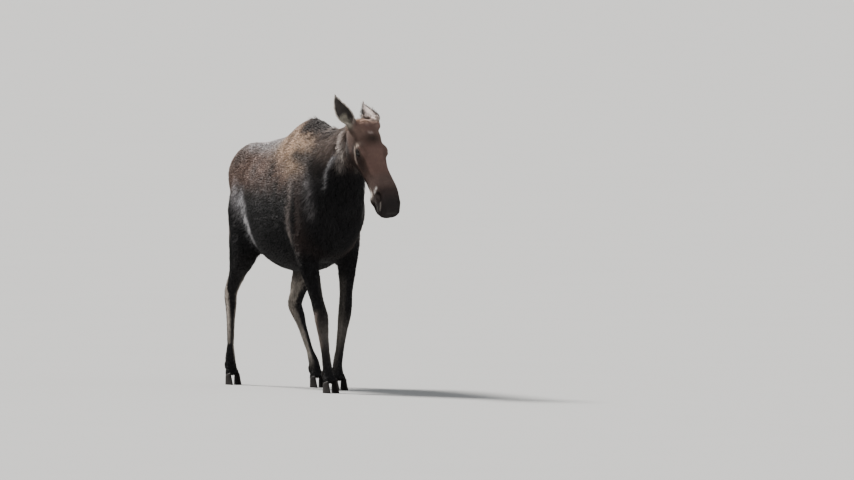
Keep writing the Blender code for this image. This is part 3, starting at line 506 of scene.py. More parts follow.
def layered(colour, *layers):
    """Rows of colour with one named tint after another laid over them, each by its shares."""
    for tint, share in layers:
        colour = blended(colour, TINTS[tint], share)
    return colour


def streaks(points, lie, pitch, seed):
    """An uneven field drawn out along the hair, ten times longer than wide."""
    along = (points * lie).sum(-1, keepdims=True)
    return wave(points - 0.9 * along * lie, pitch, seed)


def on_cheek(points):
    """Points as in_head gives them, with both sides of the face taken together."""
    left, down, out = in_head(points).T
    return np.stack([np.abs(left), down, out], -1)


def in_nostril(points):
    """1 along the middle of either nostril, falling off like a bell."""
    return by_nostril(on_cheek(points), NOSTRIL_REACH)


def ear_outline(name):
    """Stations up an ear, and how far it reaches to either side of its middle line at each."""
    way = EAR_WAYS[name]
    off = points[share[:, FLESH.index(name)] > 0.6] - EAR_ROOTS[name]
    across = off @ np.cross(way, EAR_OPENINGS[name])
    reach = off @ way
    steps = np.linspace(reach.min(), reach.max(), 19)
    slices = [across[(reach >= low) & (reach <= high)] for low, high in zip(steps[:-1], steps[1:])]
    return (steps[:-1] + steps[1:]) / 2, [cut.min() for cut in slices], [cut.max() for cut in slices]


EAR_OUTLINES = {name: ear_outline(name) for name in EAR_WAYS}


def on_ear(points, name):
    """How far points lie up an ear and across it, and 1 along its rim: the edge of its own outline."""
    off = points - EAR_ROOTS[name]
    reach, across = off @ EAR_WAYS[name], off @ np.cross(EAR_WAYS[name], EAR_OPENINGS[name])
    stations, low, high = EAR_OUTLINES[name]
    inward = np.minimum(
        across - np.interp(reach, stations, low), np.interp(reach, stations, high) - across)
    inward = np.minimum(inward, 0.6 * (stations[-1] - reach))
    return reach, across, ramp(inward, 0.0085, 0.0035)


def body_marked(points, kind, fine, patchy):
    """The colours of the trunk, the neck and the tail: soft-edged bands by height and by distance
    along the body, then the marks, many of them painted sheen and rim light. The strips on the neck and
    the thigh are painted sheen, fainter on the left, which is turned away from the key light."""
    x, y, z = points.T
    side = np.abs(x)
    flank = np.stack([side, y, z], -1)
    mirrored = np.stack([-side, y, z], -1)
    sunny = np.where(x < 0, 1, 0.25)
    fur = 1 - kind["head"] - kind["eye"]
    body = kind["trunk"] + kind["neck"] + kind["tail"]
    nape = kind["neck"] + kind["trunk"] * ramp(y, -0.34, -0.46)
    # painted sheen: a grey band along the top of the back, from behind the hump to the rump
    back = ramp(z, 1.47, 1.56) * ramp(y, 0.06, 0.24) * ramp(y, 0.88, 0.62)
    hump = bump(flank, (0.13, -0.05, 1.58), (0.13, 0.24, 0.115))
    hump = np.maximum(hump, 0.8 * bump(flank, (0.16, -0.16, 1.47), (0.10, 0.14, 0.09)))
    crest = ramp(z, 1.600, 1.665) * ramp(side, 0.17, 0.09) * ramp(y, 0.00, -0.10) * ramp(y, -0.64, -0.48)
    belly = ramp(z, 1.36, 1.15) * body * np.where(y > -0.30, 1, 0)
    chest = nape * ramp(z, 1.56, 1.36)
    colour = layered(
        np.broadcast_to(TINTS["body"], points.shape),
        ("barrel", ramp(z, 1.10, 1.38) * ramp(y, -0.32, 0.02) * (0.55 + 0.45 * patchy)),
        ("rump", bump(flank, (0.20, 0.80, 1.42), (0.16, 0.26, 0.15))),
        ("shoulder", ramp(y, -0.12, -0.30) * body),
        ("back", back * np.clip(0.60 + 0.50 * fine, 0, 1)),
        ("hump", np.clip(1.15 * hump * (0.88 + 0.25 * fine), 0, 1)),
        ("nape", nape * ramp(z, 1.40, 1.56)),
        ("crest", crest),
        ("belly", 1 - (1 - np.clip(belly, 0, 1)) ** 1.6),
        ("chest", 1 - (1 - np.clip(chest, 0, 1)) ** 1.6),
        # pale streaks down the neck: partly pale hair, partly painted sheen
        ("nape streaks", nape * np.clip(0.8 * fine + 0.1, 0, 1) * ramp(z, 1.46, 1.58)),
    )
    for path, reach, tint, strength, broken in BODY_MARKS_AND_PAINTED_LIGHT:
        mark = strength * stroke(mirrored, path, reach) * (1 - broken + broken * np.clip(0.5 + fine, 0, 2))
        colour = blended(colour, tint, np.clip(mark, 0, 1) * fur)
    # painted sheen: the pale strip down the neck, fainter on the left
    strip = 1.5 * stroke(mirrored, NECK_SHEEN_STRIP, 0.025) * ramp(z, 1.32, 1.54) * (0.8 + 0.4 * fine) * sunny
    # painted sheen along the front edge of the thigh, fainter on the left
    thigh = 0.85 * stroke(mirrored, THIGH_SHEEN, 0.052) * (0.8 + 0.5 * fine) * sunny
    return layered(
        colour, ("neck strip", np.clip(strip, 0, 1) * fur), ("thigh", np.clip(thigh, 0, 1) * body))


def face_marked(colour, points, normals, head):
    """The colours of the face: lighter and redder on its front, which is painted light, darker down the
    muzzle, with painted shade under the jaw and painted rim light along the crown, then the marks, which
    are the same on both sides and hold painted highlights and shade."""
    cheek = on_cheek(points)
    down, out = cheek[:, 1], cheek[:, 2]
    colour = layered(
        colour,
        ("cheek", head),
        # painted light: where the face turns out to the front it is lighter
        ("face", head * ramp(normals @ HEAD_AXES[2], 0.35, 0.80)),
        ("nose", head * ramp(down, 0.36, 0.44)),
        # partly the crown's red-brown hair, partly painted rim light along the top of the head
        ("crown", head * ramp(down, 0.055, 0.0)),
        ("muzzle", head * ramp(down, 0.455, 0.530)),
        ("lips", head * ramp(down, 0.500, 0.600)),
        # painted shade under the jaw
        ("jaw", head * ramp(out, -0.115, -0.150) * ramp(down, 0.50, 0.40)),
    )
    for centre, radii, tint, strength in FACE_MARKS_AND_SHADE:
        colour = blended(colour, tint, np.clip(strength * bump(cheek, centre, radii), 0, 1) * head)
    for path, reach, tint, strength in FACE_LINES_AND_HIGHLIGHTS:
        colour = blended(colour, tint, strength * stroke(cheek, path, reach) * head)
    return layered(colour, ("nostril", head * ramp(in_nostril(points), 0.20, 0.55)))


def ears_marked(colour, points, normals, share):
    """The colours of the ears: grey-brown backs, the hollow's colour on what faces its opening, pale in
    the left ear and dark with painted shade in the right, cream low on the outer side, and the rim's own
    colour along the outline."""
    for name in EAR_WAYS:
        ear = share[:, FLESH.index(name)]
        opening = normals @ EAR_OPENINGS[name]
        reach, across, rim = on_ear(points, name)
        inside, edging, cream = EAR_COLOURS[name]
        outer = across * np.sign(EAR_ROOTS[name][0])
        low = ramp(reach, 0.060, 0.028) * ramp(outer, -0.014, 0.010) * ramp(opening, -0.7, -0.2)
        colour = layered(colour, ("ear", ear))
        colour = blended(colour, inside, ear * ramp(opening, 0.05, 0.45))
        colour = layered(colour, ("ear root", ear * low * cream))
        colour = blended(colour, edging, 0.9 * ear * rim * ramp(reach, -0.03, 0.02))
    return colour


def legs_marked(colour, points, normals, kind, fine):
    """The colours of the legs: dark in front, pale tan behind and within from the hock to the foot."""
    x, y, z = points.T
    mirrored = np.stack([-np.abs(x), y, z], -1)
    leg = kind["upper"] + kind["lower"] + kind["foot"]
    within = ramp(-np.sign(x) * normals[:, 0], 0.15, 0.75)
    behind = ramp(normals[:, 1], 0.05, 0.55)
    hind = ramp(y, 0.20, 0.36)
    pale = hind * (0.9 * within + 0.8 * behind) + (1 - hind) * (0.2 * within + 0.7 * behind)
    pale = np.clip(pale, 0, 1) * leg * ramp(z, 0.80, 0.66) * ramp(z, 0.10, 0.22) * (0.75 + 0.25 * fine)
    return layered(
        colour,
        ("leg", (leg + kind["trunk"] * ramp(z, 0.95, 0.84)) * ramp(stroke(mirrored, *PALE_RIM_LIT_HIND_EDGE), 0.8, 0.2)),
        # painted sheen round the forelegs' cannons
        ("shin", leg * ramp(y, 0.1, -0.1) * bump(z[:, None], 0.37, 0.09)),
        ("back of leg", pale),
        ("knee", 0.7 * leg * stroke(mirrored, FORE_KNEE, 0.024)),
    )


def markings_and_painted_light(points, normals, lie, share):
    """The coat's colour at each point: the body's, the face's, the ears' and the legs' in turn, with painted
    sheen, rim light, highlights and shade among them, and all of it made uneven, in patches and in
    streaks along the hair."""
    kind = {name: share_of(share, name) for name in HAIR}
    patchy = 0.5 + 0.5 * wave(points, 0.16, 11)
    fine = streaks(points, lie, 0.022, 12)
    colour = body_marked(points, kind, fine, patchy)
    colour = face_marked(colour, points, normals, kind["head"] + kind["eye"])
    colour = ears_marked(colour, points, normals, share)
    colour = legs_marked(colour, points, normals, kind, fine)
    body = kind["trunk"] + kind["neck"] + kind["tail"]
    tufted = 1 + 0.24 * patchy - 0.12 + 0.20 * body * fine * ramp(points[:, 2], 1.0, 1.2)
    return np.clip(colour * tufted[:, None], 0.002, 1)


hide_colour = markings_and_painted_light(points, normals, lie, share)

# A fringe stands out from the rims of the ears, longer on the left one, which is seen from within.
for name, fringe in (("ear_left", 0.015), ("ear_right", 0.003)):
    rim = share[:, FLESH.index(name)] * on_ear(points, name)[2]
    deep = deep + fringe * rim
    long = long + 0.7 * fringe * rim


# ---- the finishes: hair, bare skin, wet eye and horn are each one Principled shader. Hair and skin
# take their colours from the mesh, the coat's own with painted sheen, highlights and shade among them,
# and fine noise makes them uneven.


def painted(piece, colours):
    """Gives a mesh its colours, one for each point."""
    layer = piece.data.attributes.new("markings_and_painted_light", "FLOAT_COLOR", "POINT")
    rows = np.concatenate([colours, np.ones((len(colours), 1))], 1)
    layer.data.foreach_set("color", rows.astype(np.float32).ravel())


class Value:
    """A shader socket that adds Math nodes when it is worked with as a number."""

    def __init__(self, finish, socket):
        self.finish, self.socket = finish, socket

    def _math(self, operation, *inputs):
        """The Math node for one operator."""
        return self.finish.node("ShaderNodeMath", {"operation": operation}, dict(enumerate(inputs)))

    def __add__(self, other):
        return self._math("ADD", self, other)

    def __mul__(self, other):
        return self._math("MULTIPLY", self, other)

    __radd__, __rmul__ = __add__, __mul__


class Finish:
    """A material being made: one Principled shader, and the nodes that feed it."""

    def __init__(self, name, **constants):
        self.material = bpy.data.materials.new(name)
        self.material.use_nodes = True
        self.tree = self.material.node_tree
        self.shader = self.tree.nodes["Principled BSDF"]
        for key, value in constants.items():
            self.shader.inputs[key.replace("_", " ")].default_value = value

    def node(self, kind, settings=None, inputs=None, output=0):
        """Adds a node, sets it up, and feeds its sockets with numbers, colours or links."""
        made = self.tree.nodes.new(kind)
        for key, value in (settings or {}).items():
            setattr(made, key, value)
        for key, value in (inputs or {}).items():
            self.feed(made.inputs[key], value)
        return Value(self, made.outputs[output])

    def feed(self, socket, value):
        """Links a value into a socket, or sets the socket to it."""
        if isinstance(value, Value):
            self.tree.links.new(value.socket, socket)
        else:
            socket.default_value = value

    def markings_and_painted_light(self):
        """The colours that the mesh itself carries."""
        return self.node("ShaderNodeAttribute", {"attribute_name": "markings_and_painted_light"}, output="Color")

    def noise(self, scale, detail=2.0, stretch=(1, 1, 1)):
        """Uneven tones from 0 to 1, from the object's own coordinates."""
        place = self.node("ShaderNodeTexCoord", output="Object")
        place = self.node("ShaderNodeMapping", {}, {"Vector": place, "Scale": stretch})
        return self.node("ShaderNodeTexNoise", {}, {"Vector": place, "Scale": scale, "Detail": detail})

    def shaded(self, tint, tone):
        """A colour made darker or lighter by a number around 1."""
        grey = self.node("ShaderNodeCombineColor", {}, {0: tone, 1: tone, 2: tone})
        return self.node("ShaderNodeMix", {"data_type": "RGBA", "blend_type": "MULTIPLY"},
                         {0: 1.0, 6: tint, 7: grey}, output=2)

    def bumped(self, height, distance):
        """Raises fine relief, in metres, on the shader's normal."""
        relief = self.node("ShaderNodeBump", {}, {"Height": height, "Distance": distance})
        self.feed(self.shader.inputs["Normal"], relief)


def hair_finish(name, grain, depth, **constants):
    """Hair: the markings, made uneven by fine tones, with a grain of relief under them."""
    finish = Finish(name, **constants)
    tint = finish.markings_and_painted_light()
    tone = finish.noise(grain, 3.0) * 0.5 + 0.75
    finish.feed(finish.shader.inputs["Base Color"], finish.shaded(tint, tone))
    finish.bumped(finish.noise(grain * 2.2, 2.0), depth)
    return finish.material


painted(hide, hide_colour)
hide_hair = hair_finish("hide", grain=190, depth=0.0012, Roughness=0.72, Specular_IOR_Level=0.25)
hide.data.materials.append(hide_hair)
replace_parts(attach(hide, "root"), *[n for n in FLESH if "eye" not in n])

# ------------------------ eyes and lids
# Each eye is a wet dark ball with a swelling cornea, a deep brown iris and a long level pupil. The
# lids are bare dark skin with one fold above, drawn round the ball and sunk into the hide.

SIDES = {1: "left", -1: "right"}
GAZE_FORWARD = 0.30
GAZE_OUT = 0.16
BALL_ROWS, BALL_COLUMNS = 33, 48
LID_ROWS, LID_COLUMNS = 15, 64
LID_THICKNESS = 0.0008
OPEN_ALONG, OPEN_ABOVE, OPEN_BELOW, LIDS_END = (math.radians(turn) for turn in (62, 42, 31, 86))
BARE_SKIN = (0.0085, 0.0072, 0.0068)
SCLERA = (0.030, 0.024, 0.021)
IRIS = (0.011, 0.006, 0.004)
PUPIL = (0.002, 0.002, 0.003)


def all_round(columns):
    """Angles in even steps once round."""
    return np.linspace(0, 2 * math.pi, columns, endpoint=False)


def sheet_faces(rows, columns):
    """The faces between rings of points, one ring to a row, closed on itself along its columns."""
    row, column = np.meshgrid(np.arange(rows - 1), np.arange(columns), indexing="ij")
    after = (column + 1) % columns
    here, above = row * columns, (row + 1) * columns
    return np.stack([here + column, here + after, above + after, above + column], -1).reshape(-1, 4)


def facing_out(piece):
    """Turns a closed piece's faces outwards."""
    work = bmesh.new()
    work.from_mesh(piece.data)
    bmesh.ops.remove_doubles(work, verts=work.verts, dist=1e-7)
    bmesh.ops.recalc_face_normals(work, faces=work.faces)
    if work.calc_volume(signed=True) < 0:
        bmesh.ops.reverse_faces(work, faces=work.faces)
    work.to_mesh(piece.data)
    work.free()
    return piece


def eye_axes(side):
    """Rows: the way the eye looks, its long way from the inner corner to the outer, and up."""
    gaze = unit(np.array([side, GAZE_FORWARD, GAZE_OUT]) @ HEAD_AXES)
    long_way = flattened(np.array([0.0, -1.0, 0.20]) @ HEAD_AXES, gaze)
    up = np.cross(gaze, long_way) * side
    return np.stack([gaze, long_way, up])


def eyeball(side):
    """A ball as rings about its gaze; the radius swells by a bell over the cornea."""
    turn = np.linspace(0, math.pi, BALL_ROWS)[:, None]
    round_it = all_round(BALL_COLUMNS)[None, :]
    radius = EYE_RADIUS * (0.985 + 0.060 * np.exp(-((turn / 0.62) ** 4)))
    spots = np.stack([
        radius * np.cos(turn) + 0 * round_it,
        radius * np.sin(turn) * np.cos(round_it),
        radius * np.sin(turn) * np.sin(round_it),
    ], -1).reshape(-1, 3)
    spots = EYES[side] + spots @ eye_axes(side)
    piece = facing_out(new_piece("eye_" + SIDES[side] + "_ball", spots, sheet_faces(BALL_ROWS, BALL_COLUMNS)))
    seen = (read(piece.data)[0] - EYES[side]) @ eye_axes(side).T / EYE_RADIUS
    colours = np.broadcast_to(SCLERA, seen.shape)
    off = np.hypot(seen[:, 1], seen[:, 2])
    colours = blended(colours, IRIS, ramp(off, 0.80, 0.72))
    pupil = np.hypot(seen[:, 1] / 0.34, seen[:, 2] / 0.15)
    colours = blended(colours, PUPIL, ramp(pupil, 1.1, 0.9) * (seen[:, 0] > 0))
    painted(piece, colours)
    return piece


def lid_thickness(share):
    """The lid's height off the ball: a rounded edge, a fold half way out, then down into the hide."""
    return np.interp(share, (0, 0.05, 0.16, 0.34, 0.46, 0.60, 0.80, 1), (
        -0.0016, 0.0010, 0.0024, 0.0028, 0.0016, 0.0034, 0.0068, 0.0090))


def lids(side):
    """A ring of skin about the gaze: from the almond of the opening out to a wide circle."""
    round_it = all_round(LID_COLUMNS)
    share = np.linspace(0, 1, LID_ROWS)[:, None]
    along, upward = np.cos(round_it), np.sin(round_it)
    tall = np.where(upward > 0, OPEN_ABOVE, OPEN_BELOW)
    opening = (np.abs(along / OPEN_ALONG) ** 1.7 + np.abs(upward / tall) ** 1.7) ** (-1 / 1.7)
    turn = opening + (LIDS_END - opening) * share
    radius = EYE_RADIUS + lid_thickness(share) * (1 + 0.35 * np.maximum(upward, 0)) + 0 * turn
    spots = np.stack([
        radius * np.cos(turn),
        radius * np.sin(turn) * along,
        radius * np.sin(turn) * upward,
    ], -1).reshape(-1, 3)
    spots = EYES[side] + spots @ eye_axes(side)
    piece = new_piece("lids_" + SIDES[side], spots, sheet_faces(LID_ROWS, LID_COLUMNS))
    solid = piece.modifiers.new("thick", "SOLIDIFY")
    solid.thickness, solid.offset = LID_THICKNESS, -1
    points, normals, _ = read(piece.data)
    if (normals * (points - EYES[side])).sum() < 0:
        piece.data.flip_normals()
    settled(piece)
    points, normals, _ = read(piece.data)
    face = np.zeros((len(points), len(FLESH)))
    face[:, FLESH.index("head")] = 1
    tint = markings_and_painted_light(points, normals, face_lie(points), face)
    seen = (points - EYES[side]) @ eye_axes(side).T
    turned_by = np.arctan2(np.hypot(seen[:, 1], seen[:, 2]), seen[:, 0])
    bare = ramp(turned_by, math.radians(92), math.radians(74))
    painted(piece, blended(tint, BARE_SKIN, bare))
    return piece


wet = Finish("wet eye", Roughness=0.08, Specular_IOR_Level=0.28, Coat_Weight=0.05)
wet.feed(wet.shader.inputs["Base Color"], wet.markings_and_painted_light())
lid_skin = hair_finish("lid skin", grain=420, depth=0.0004, Roughness=0.70, Specular_IOR_Level=0.06)
for side, name in SIDES.items():
    ball = eyeball(side)
    ball.data.materials.append(wet.material)
    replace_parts(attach(ball, "root"), "eye_" + name)
    fold = lids(side)
    fold.data.materials.append(lid_skin)
    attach(fold, "root")

# ------------------------ hooves and dewclaws
# Two narrow hooves of dark horn stand on each foot, pointed in front and lower at the heel, with
# faint growth rings; two dewclaws hang behind the pastern. Horn grows from under the coronet's hair.

HOOF_ROWS, HOOF_COLUMNS = 18, 40
CLAW_ROWS, CLAW_COLUMNS = 14, 24
HORN = (0.015, 0.0125, 0.0115)


def hoof(name):
    """Rings from the sole up: each a pointed oval that moves back as it rises, in the solid's box."""
    low, high = (np.array(corner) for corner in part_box(name))
    middle_x, half = (low[0] + high[0]) / 2, (high[0] - low[0]) / 2
    length = high[1] - low[1]
    rise = np.linspace(0, 1, HOOF_ROWS)[:, None]
    turn = all_round(HOOF_COLUMNS)[None, :]
    ahead = (1 + np.cos(turn)) / 2
    front = low[1] + length * 0.40 * rise**0.9
    heel = high[1] - length * (0.02 + 0.07 * rise)
    inner = np.where(name.endswith("inner"), 1, -1) * (1 if "left" in name else -1)
    flat = 1 - 0.22 * np.clip(-np.sin(turn) * -inner, 0, 1)
    ridge = 1 + 0.010 * np.sin(2 * math.pi * 7 * rise) * ramp(rise, 0.1, 0.3) * ramp(rise, 1, 0.9)
    drawn = 0.97 - 0.10 * rise - 0.08 * ramp(rise, 0.80, 1.0)
    girth = half * drawn * ridge * np.clip(rise / 0.05, 0.90, 1)
    x = middle_x + girth * np.sin(turn) * (1 - 0.52 * ahead**2.2) * flat
    y = heel + (front - heel) * ahead
    z = (high[2] - low[2]) * rise * (0.72 + 0.26 * ahead)
    return x, y, z


def capped(name, x, y, z):
    """A closed piece from rings of points, shut by a fan at the first ring and at the last."""
    spots = np.stack(np.broadcast_arrays(x, y, z), -1)
    rows, columns = spots.shape[:2]
    ends = np.stack([spots[0].mean(0), spots[-1].mean(0)])
    faces = [tuple(face) for face in sheet_faces(rows, columns).tolist()]
    first, last = rows * columns, (rows - 1) * columns
    faces += [(k, first, (k + 1) % columns) for k in range(columns)]
    faces += [(last + (k + 1) % columns, first + 1, last + k) for k in range(columns)]
    return facing_out(new_piece(name, np.concatenate([spots.reshape(-1, 3), ends]), faces))


def dewclaw(name):
    """An egg in the solid's box, drawn to a blunt point below."""
    low, high = (np.array(corner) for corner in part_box(name))
    centre, half = (low + high) / 2, (high - low) / 2
    rise = np.linspace(0.02, 0.98, CLAW_ROWS)[:, None] * math.pi
    turn = all_round(CLAW_COLUMNS)[None, :]
    belly = np.sin(rise) * (1 - 0.30 * np.cos(rise))
    return (
        centre[0] + 0.94 * half[0] * belly * np.cos(turn),
        centre[1] + 0.94 * half[1] * (belly * np.sin(turn) - 0.10 + 0.1 * np.cos(rise)),
        centre[2] - half[2] * np.cos(rise) + 0 * turn,
    )


horn = Finish("horn", Roughness=0.60, Specular_IOR_Level=0.10)
grain = horn.noise(60, 4.0, (1.0, 1.0, 0.25))
horn.feed(horn.shader.inputs["Base Color"], horn.shaded((*HORN, 1), grain * 1.1 + 0.45))
horn.feed(horn.shader.inputs["Roughness"], grain * 0.30 + 0.50)
horn.bumped(grain, 0.0010)
for name in sorted(solids):
    if "hoof" in name or "dewclaw" in name:
        claw = capped(name + "_horn", *(hoof(name) if "hoof" in name else dewclaw(name)))
        claw.data.materials.append(horn.material)
        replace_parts(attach(claw, "root"), name)

# ------------------------ the coat
# Locks of coarse hair, each a thin three-sided sliver that leaves the hide low and bends along it.
# They overlap like thatch with their tips towards the tail and the feet, are shortest on the face,
# the ears and the feet, and grow nowhere in the nostrils and round the eyes.

PATCH = 0.003  # the side of a lock's own patch on the coat's flat map
FLANK_HALFWAY = 1.17  # the height at which the trunk's coat is parted into an upper and a lower piece
LOCK_STEPS = ((0.0, 0.70, -0.40), (0.46, 1.0, 0.72))  # along, width and height of a lock's two rings
LOCK_SHADES = (0.50, 0.50, 0.55, 0.95, 0.95, 1.0, 1.30)  # darkest at the root, lightest at the tip
LOCK_PATCH = ((-0.5, -0.5), (0.5, -0.5), (0, -0.5), (-0.5, 0), (0.5, 0), (0, 0), (0, 0.5))

hide.data.calc_loop_triangles()
triangles = np.empty(len(hide.data.loop_triangles) * 3, np.int32)
hide.data.loop_triangles.foreach_get("vertices", triangles)
triangles = triangles.reshape(-1, 3)
edge_a = points[triangles[:, 1]] - points[triangles[:, 0]]
edge_b = points[triangles[:, 2]] - points[triangles[:, 0]]
area = np.linalg.norm(np.cross(edge_a, edge_b), axis=1) / 2


def strewn(weight, seed):
    """Roots spread evenly over the hide, weight to the square metre, by walking up the sum of its
    triangles' areas in even steps with a little jitter: triangles, and shares of their corners."""
    total = (area * weight[triangles].mean(1)).cumsum()
    count = int(total[-1])
    draw = np.random.default_rng(seed)
    at = (np.arange(count) + draw.uniform(size=count)) / count * total[-1]
    chosen = np.searchsorted(total, at)
    first, second = np.sqrt(draw.uniform(size=count)), draw.uniform(size=count)
    return triangles[chosen], np.stack([1 - first, first * (1 - second), first * second], -1)


def unwrapped(spots, facing, shares, names):
    """Each root's place on a flat map: round and along each solid's own axis, a column for each."""
    flat = np.zeros((len(spots), 2))
    index = np.array([FLESH.index(name) for name in names])
    nearest = index[shares[:, index].argmax(1)]
    for column, name in enumerate(names):
        mine = nearest == FLESH.index(name)
        if not mine.any():
            continue
        kind = KINDS[FLESH.index(name)]
        way = {"trunk": np.array([0.0, 1.0, 0.0]), "head": HEAD_AXES[1], "neck": NECK_WAY}.get(
            kind, EAR_WAYS.get(name, limb_way(name)))
        one = flattened(np.array([1.0, 0.05, 0.02]), way)
        off = spots[mine] - corners(name).mean(0)
        angle = np.arctan2(off @ np.cross(way, one), off @ one) / (2 * math.pi) + 0.5
        if kind == "ear":
            angle = 0.5 * angle + 0.5 * (facing[mine] @ EAR_OPENINGS[name] > 0)
        along = off @ way
        place = np.stack([angle, along], -1)
        place = (place - place.min(0)) / np.maximum(np.ptp(place, axis=0), 1e-6)
        flat[mine] = np.stack([(column + 0.03 + 0.94 * place[:, 0]) / len(names), place[:, 1]], -1)
    return 0.005 + 0.99 * flat


def turning():
    """How fast the hide turns away under the hair, as one over a radius: for each edge the change of
    the normal along it over its length, gathered at both ends by how well it lies along the hair."""
    start, end = edges.T
    step = points[end] - points[start]
    square = (step**2).sum(1)
    bent = ((normals[end] - normals[start]) * step).sum(1) / square
    total, weight = np.zeros(len(points)), np.full(len(points), 1e-9)
    for spot in (start, end):
        with_hair = (step * lie[spot]).sum(1) ** 2 / square
        total += np.bincount(spot, with_hair * bent, len(points))
        weight += np.bincount(spot, with_hair, len(points))
    found = total / weight
    for _ in range(3):
        found = drawn_in(found[:, None], edges, np.full(len(found), 0.8))[:, 0]
    return found


def coat_piece(name, chosen, names, seed):
    """Locks on the chosen roots. A lock's middle line leaves the root below the hide, rises to its
    depth and then follows the hair's way round the hide; its rings are flat triangles and its tip is
    a point."""
    draw = np.random.default_rng(seed)
    spots, out_way, way = root["spot"][chosen], root["normal"][chosen], root["lie"][chosen]
    count = len(spots)
    jitter = draw.normal(size=(count, 3)) * 0.07
    gather = 0.26 * wave(spots, 0.034, 21) + 0.16 * wave(spots, 0.011, 22)
    sideways = np.cross(out_way, way)
    way = flattened(way + jitter + gather[:, None] * sideways, out_way)
    sideways = np.cross(out_way, way)
    length = root["long"][chosen] * draw.uniform(0.72, 1.18, count)
    height = root["deep"][chosen] * draw.uniform(0.72, 1.08, count)
    width = root["wide"][chosen] * draw.uniform(0.75, 1.2, count)
    bend = draw.normal(size=count) * 0.10
    turn = np.clip(root["bend"][chosen] * length, -0.4, 1.4)
    rings = []

    def stretch(along, rise):
        """A place on the middle line, on the circle that the hide follows under it."""
        angle = turn * along
        ahead = along * length * (1 - angle**2 / 6)
        fall = along * length * angle / 2 * (1 - angle**2 / 12)
        return spots + way * ahead[:, None] + out_way * (rise * height - fall)[:, None]

    for along, girth, rise in LOCK_STEPS:
        centre = stretch(along, rise)
        half = sideways * (0.5 * girth * width)[:, None]
        ridge = out_way * (0.34 * girth * width)[:, None]
        rings += [centre - half, centre + half, centre + ridge]
    tip = stretch(1.0, 1.0) + sideways * (bend * length)[:, None]
    verts = np.stack([*rings, tip], 1).reshape(-1, 3)
    pattern = [(0, 2, 1)]
    for k in range(3):
        after = (k + 1) % 3
        pattern += [(k, after, 3 + after), (k, 3 + after, 3 + k), (3 + k, 3 + after, 6)]
    faces = (np.array(pattern)[None] + 7 * np.arange(count)[:, None, None]).reshape(-1, 3)
    a, b, c = (verts[faces[:, k]] for k in range(3))
    if (np.cross(a, b) * c).sum() < 0:
        faces = faces[:, ::-1]
    piece = new_piece(name, verts, faces)
    tone = draw.uniform(0.82, 1.18, count) * (1 + 0.18 * streaks(spots, way, 0.016, 23))
    tint = root["colour"][chosen][:, None] * (tone[:, None] * np.array(LOCK_SHADES))[..., None]
    painted(piece, np.clip(tint, 0.001, 1).reshape(-1, 3))
    flat = unwrapped(spots, out_way, shares[chosen], names)
    offset = PATCH * np.array(LOCK_PATCH)
    uv = np.clip(flat[:, None] + offset, 0, 1).reshape(-1, 2)[faces.ravel()]
    piece.data.uv_layers.new(name="OFBake").data.foreach_set("uv", uv.astype(np.float32).ravel())
    piece.data.materials.append(hair)
    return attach(piece, "root")


hair = hair_finish("hair", grain=260, depth=0.0006, Roughness=0.62, Specular_IOR_Level=0.08)
bare = on_head_share * ramp(in_nostril(points), 0.25, 0.5)
for centre in EYES.values():
    reach = np.linalg.norm(points - centre, axis=1)
    bare = np.maximum(bare, ramp(reach, EYE_RADIUS * 1.30, EYE_RADIUS * 1.10))
at, weights = strewn(dense * (1 - bare), seed=5)


def carried(values):
    """Values on the hide's points, taken to the roots."""
    return np.einsum("rk,rk...->r...", weights, values[at])


on_hide = {"spot": points, "long": long, "deep": deep, "wide": wide, "colour": hide_colour, "bend": turning()}
root = {word: carried(values) for word, values in on_hide.items()}
root["normal"] = unit(carried(normals))
root["lie"] = flattened(carried(lie), root["normal"])
shares = carried(share)
chief = np.array(KINDS)[shares.argmax(1)]
chief_name = np.array(FLESH)[shares.argmax(1)]
fore = np.char.startswith(chief_name, "fore")
on_trunk, on_face = chief == "trunk", np.isin(chief, ("head", "eye"))
on_leg = np.isin(chief, ("upper", "lower", "foot"))
high = root["spot"][:, 2] > FLANK_HALFWAY
on_left = root["spot"][:, 0] > 0
on_left_cheek = in_head(root["spot"])[:, 0] > 0
LEGS = {end: [name for name in FLESH if name.startswith(end)] for end in ("fore", "hind")}
COAT = {
    "coat_trunk_left_high": (on_trunk & high & on_left, ["trunk"]),
    "coat_trunk_right_high": (on_trunk & high & ~on_left, ["trunk"]),
    "coat_trunk_left_low": (on_trunk & ~high & on_left, ["trunk"]),
    "coat_trunk_right_low": (on_trunk & ~high & ~on_left, ["trunk"]),
    "coat_neck": (chief == "neck", ["neck"]),
    "coat_head_left": (on_face & on_left_cheek, ["head"]),
    "coat_head_right": (on_face & ~on_left_cheek, ["head"]),
    "coat_ears_and_tail": (np.isin(chief, ("ear", "tail")), ["ear_left", "ear_right", "tail"]),
    "coat_forelegs": (on_leg & fore, LEGS["fore"]),
    "coat_hindlegs": (on_leg & ~fore, LEGS["hind"]),
}
for seed, (name, (chosen, names)) in enumerate(COAT.items()):
    coat_piece(name, chosen, names, seed)

# ------------------------ the floor and the light
# A plain pale floor that runs on far behind the animal, one broad light high over the right side of
# its rump, a weak one in front, and an even pale sky all round.

FLOOR = (0.37, 0.37, 0.365, 1)
FLOOR_REACH = 320.0

floor_corners = FLOOR_REACH * np.array([(-1.0, -1, 0), (1, -1, 0), (1, 1, 0), (-1, 1, 0)])
floor = new_piece("floor", floor_corners, [(0, 1, 2, 3)])
ground = Finish("floor", Roughness=0.90, Specular_IOR_Level=0.1)
tone = ground.noise(0.9, 3.0) * 0.04 + 0.98
ground.feed(ground.shader.inputs["Base Color"], ground.shaded(FLOOR, tone))
floor.data.materials.append(ground.material)

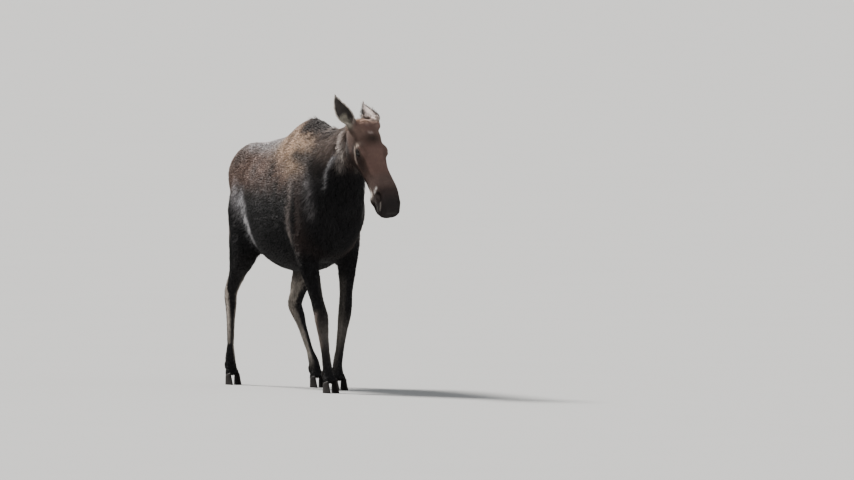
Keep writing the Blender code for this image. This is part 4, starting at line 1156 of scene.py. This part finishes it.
VIEW_AROUND = math.radians(-20)
VIEW_ABOVE = math.radians(1.5)
VIEW_FROM = 120.0
VIEW_WIDTH = 5.4849  # across the view at the animal
BODY_MIDDLE = np.array([0.0, 0.2232, 0.0])
VIEW_ASIDE, VIEW_UP = 0.803, 0.954
rightward = np.array([math.cos(VIEW_AROUND), math.sin(VIEW_AROUND), 0])
backward = np.array([
    math.sin(VIEW_AROUND) * math.cos(VIEW_ABOVE),
    -math.cos(VIEW_AROUND) * math.cos(VIEW_ABOVE),
    math.sin(VIEW_ABOVE),
])
upward = np.cross(backward, rightward)


def turned_to(ob, backward, rightward):
    """Stands a camera or a light so that it looks against backward."""
    columns = np.stack([rightward, np.cross(backward, rightward), backward], -1)
    ob.rotation_euler = Matrix(columns.tolist()).to_euler()


lens = bpy.data.cameras.new("view")
lens.sensor_width = 36
lens.lens = 36 * VIEW_FROM / VIEW_WIDTH
lens.clip_start, lens.clip_end = 1.0, 500.0
camera = added("view", lens)
camera.location = BODY_MIDDLE + rightward * VIEW_ASIDE + upward * VIEW_UP + backward * VIEW_FROM
turned_to(camera, backward, rightward)
bpy.context.scene.camera = camera


def broad_light(name, toward, strength, spread, colour):
    """A far light with a wide disc; toward is the way from the animal to it."""
    lamp = bpy.data.lights.new(name, "SUN")
    lamp.energy, lamp.angle, lamp.color = strength, math.radians(spread), colour
    made = added(name, lamp)
    toward = unit(toward)
    turned_to(made, toward, unit(np.cross([0, 0, 1.0], toward)))


to_key = -0.60 * rightward - 0.72 * backward + np.array([0, 0, 0.88])
to_fill = 0.80 * rightward + 0.80 * backward + np.array([0, 0, 0.50])
broad_light("key", to_key, strength=11.0, spread=12, colour=(1.0, 0.97, 0.93))
broad_light("fill", to_fill, strength=1.25, spread=60, colour=(0.95, 0.97, 1.0))
sky = bpy.data.worlds.new("sky")
sky.use_nodes = True
glow = sky.node_tree.nodes["Background"].inputs
glow["Color"].default_value = (0.86, 0.89, 0.93, 1)
glow["Strength"].default_value = 0.46
bpy.context.scene.world = sky
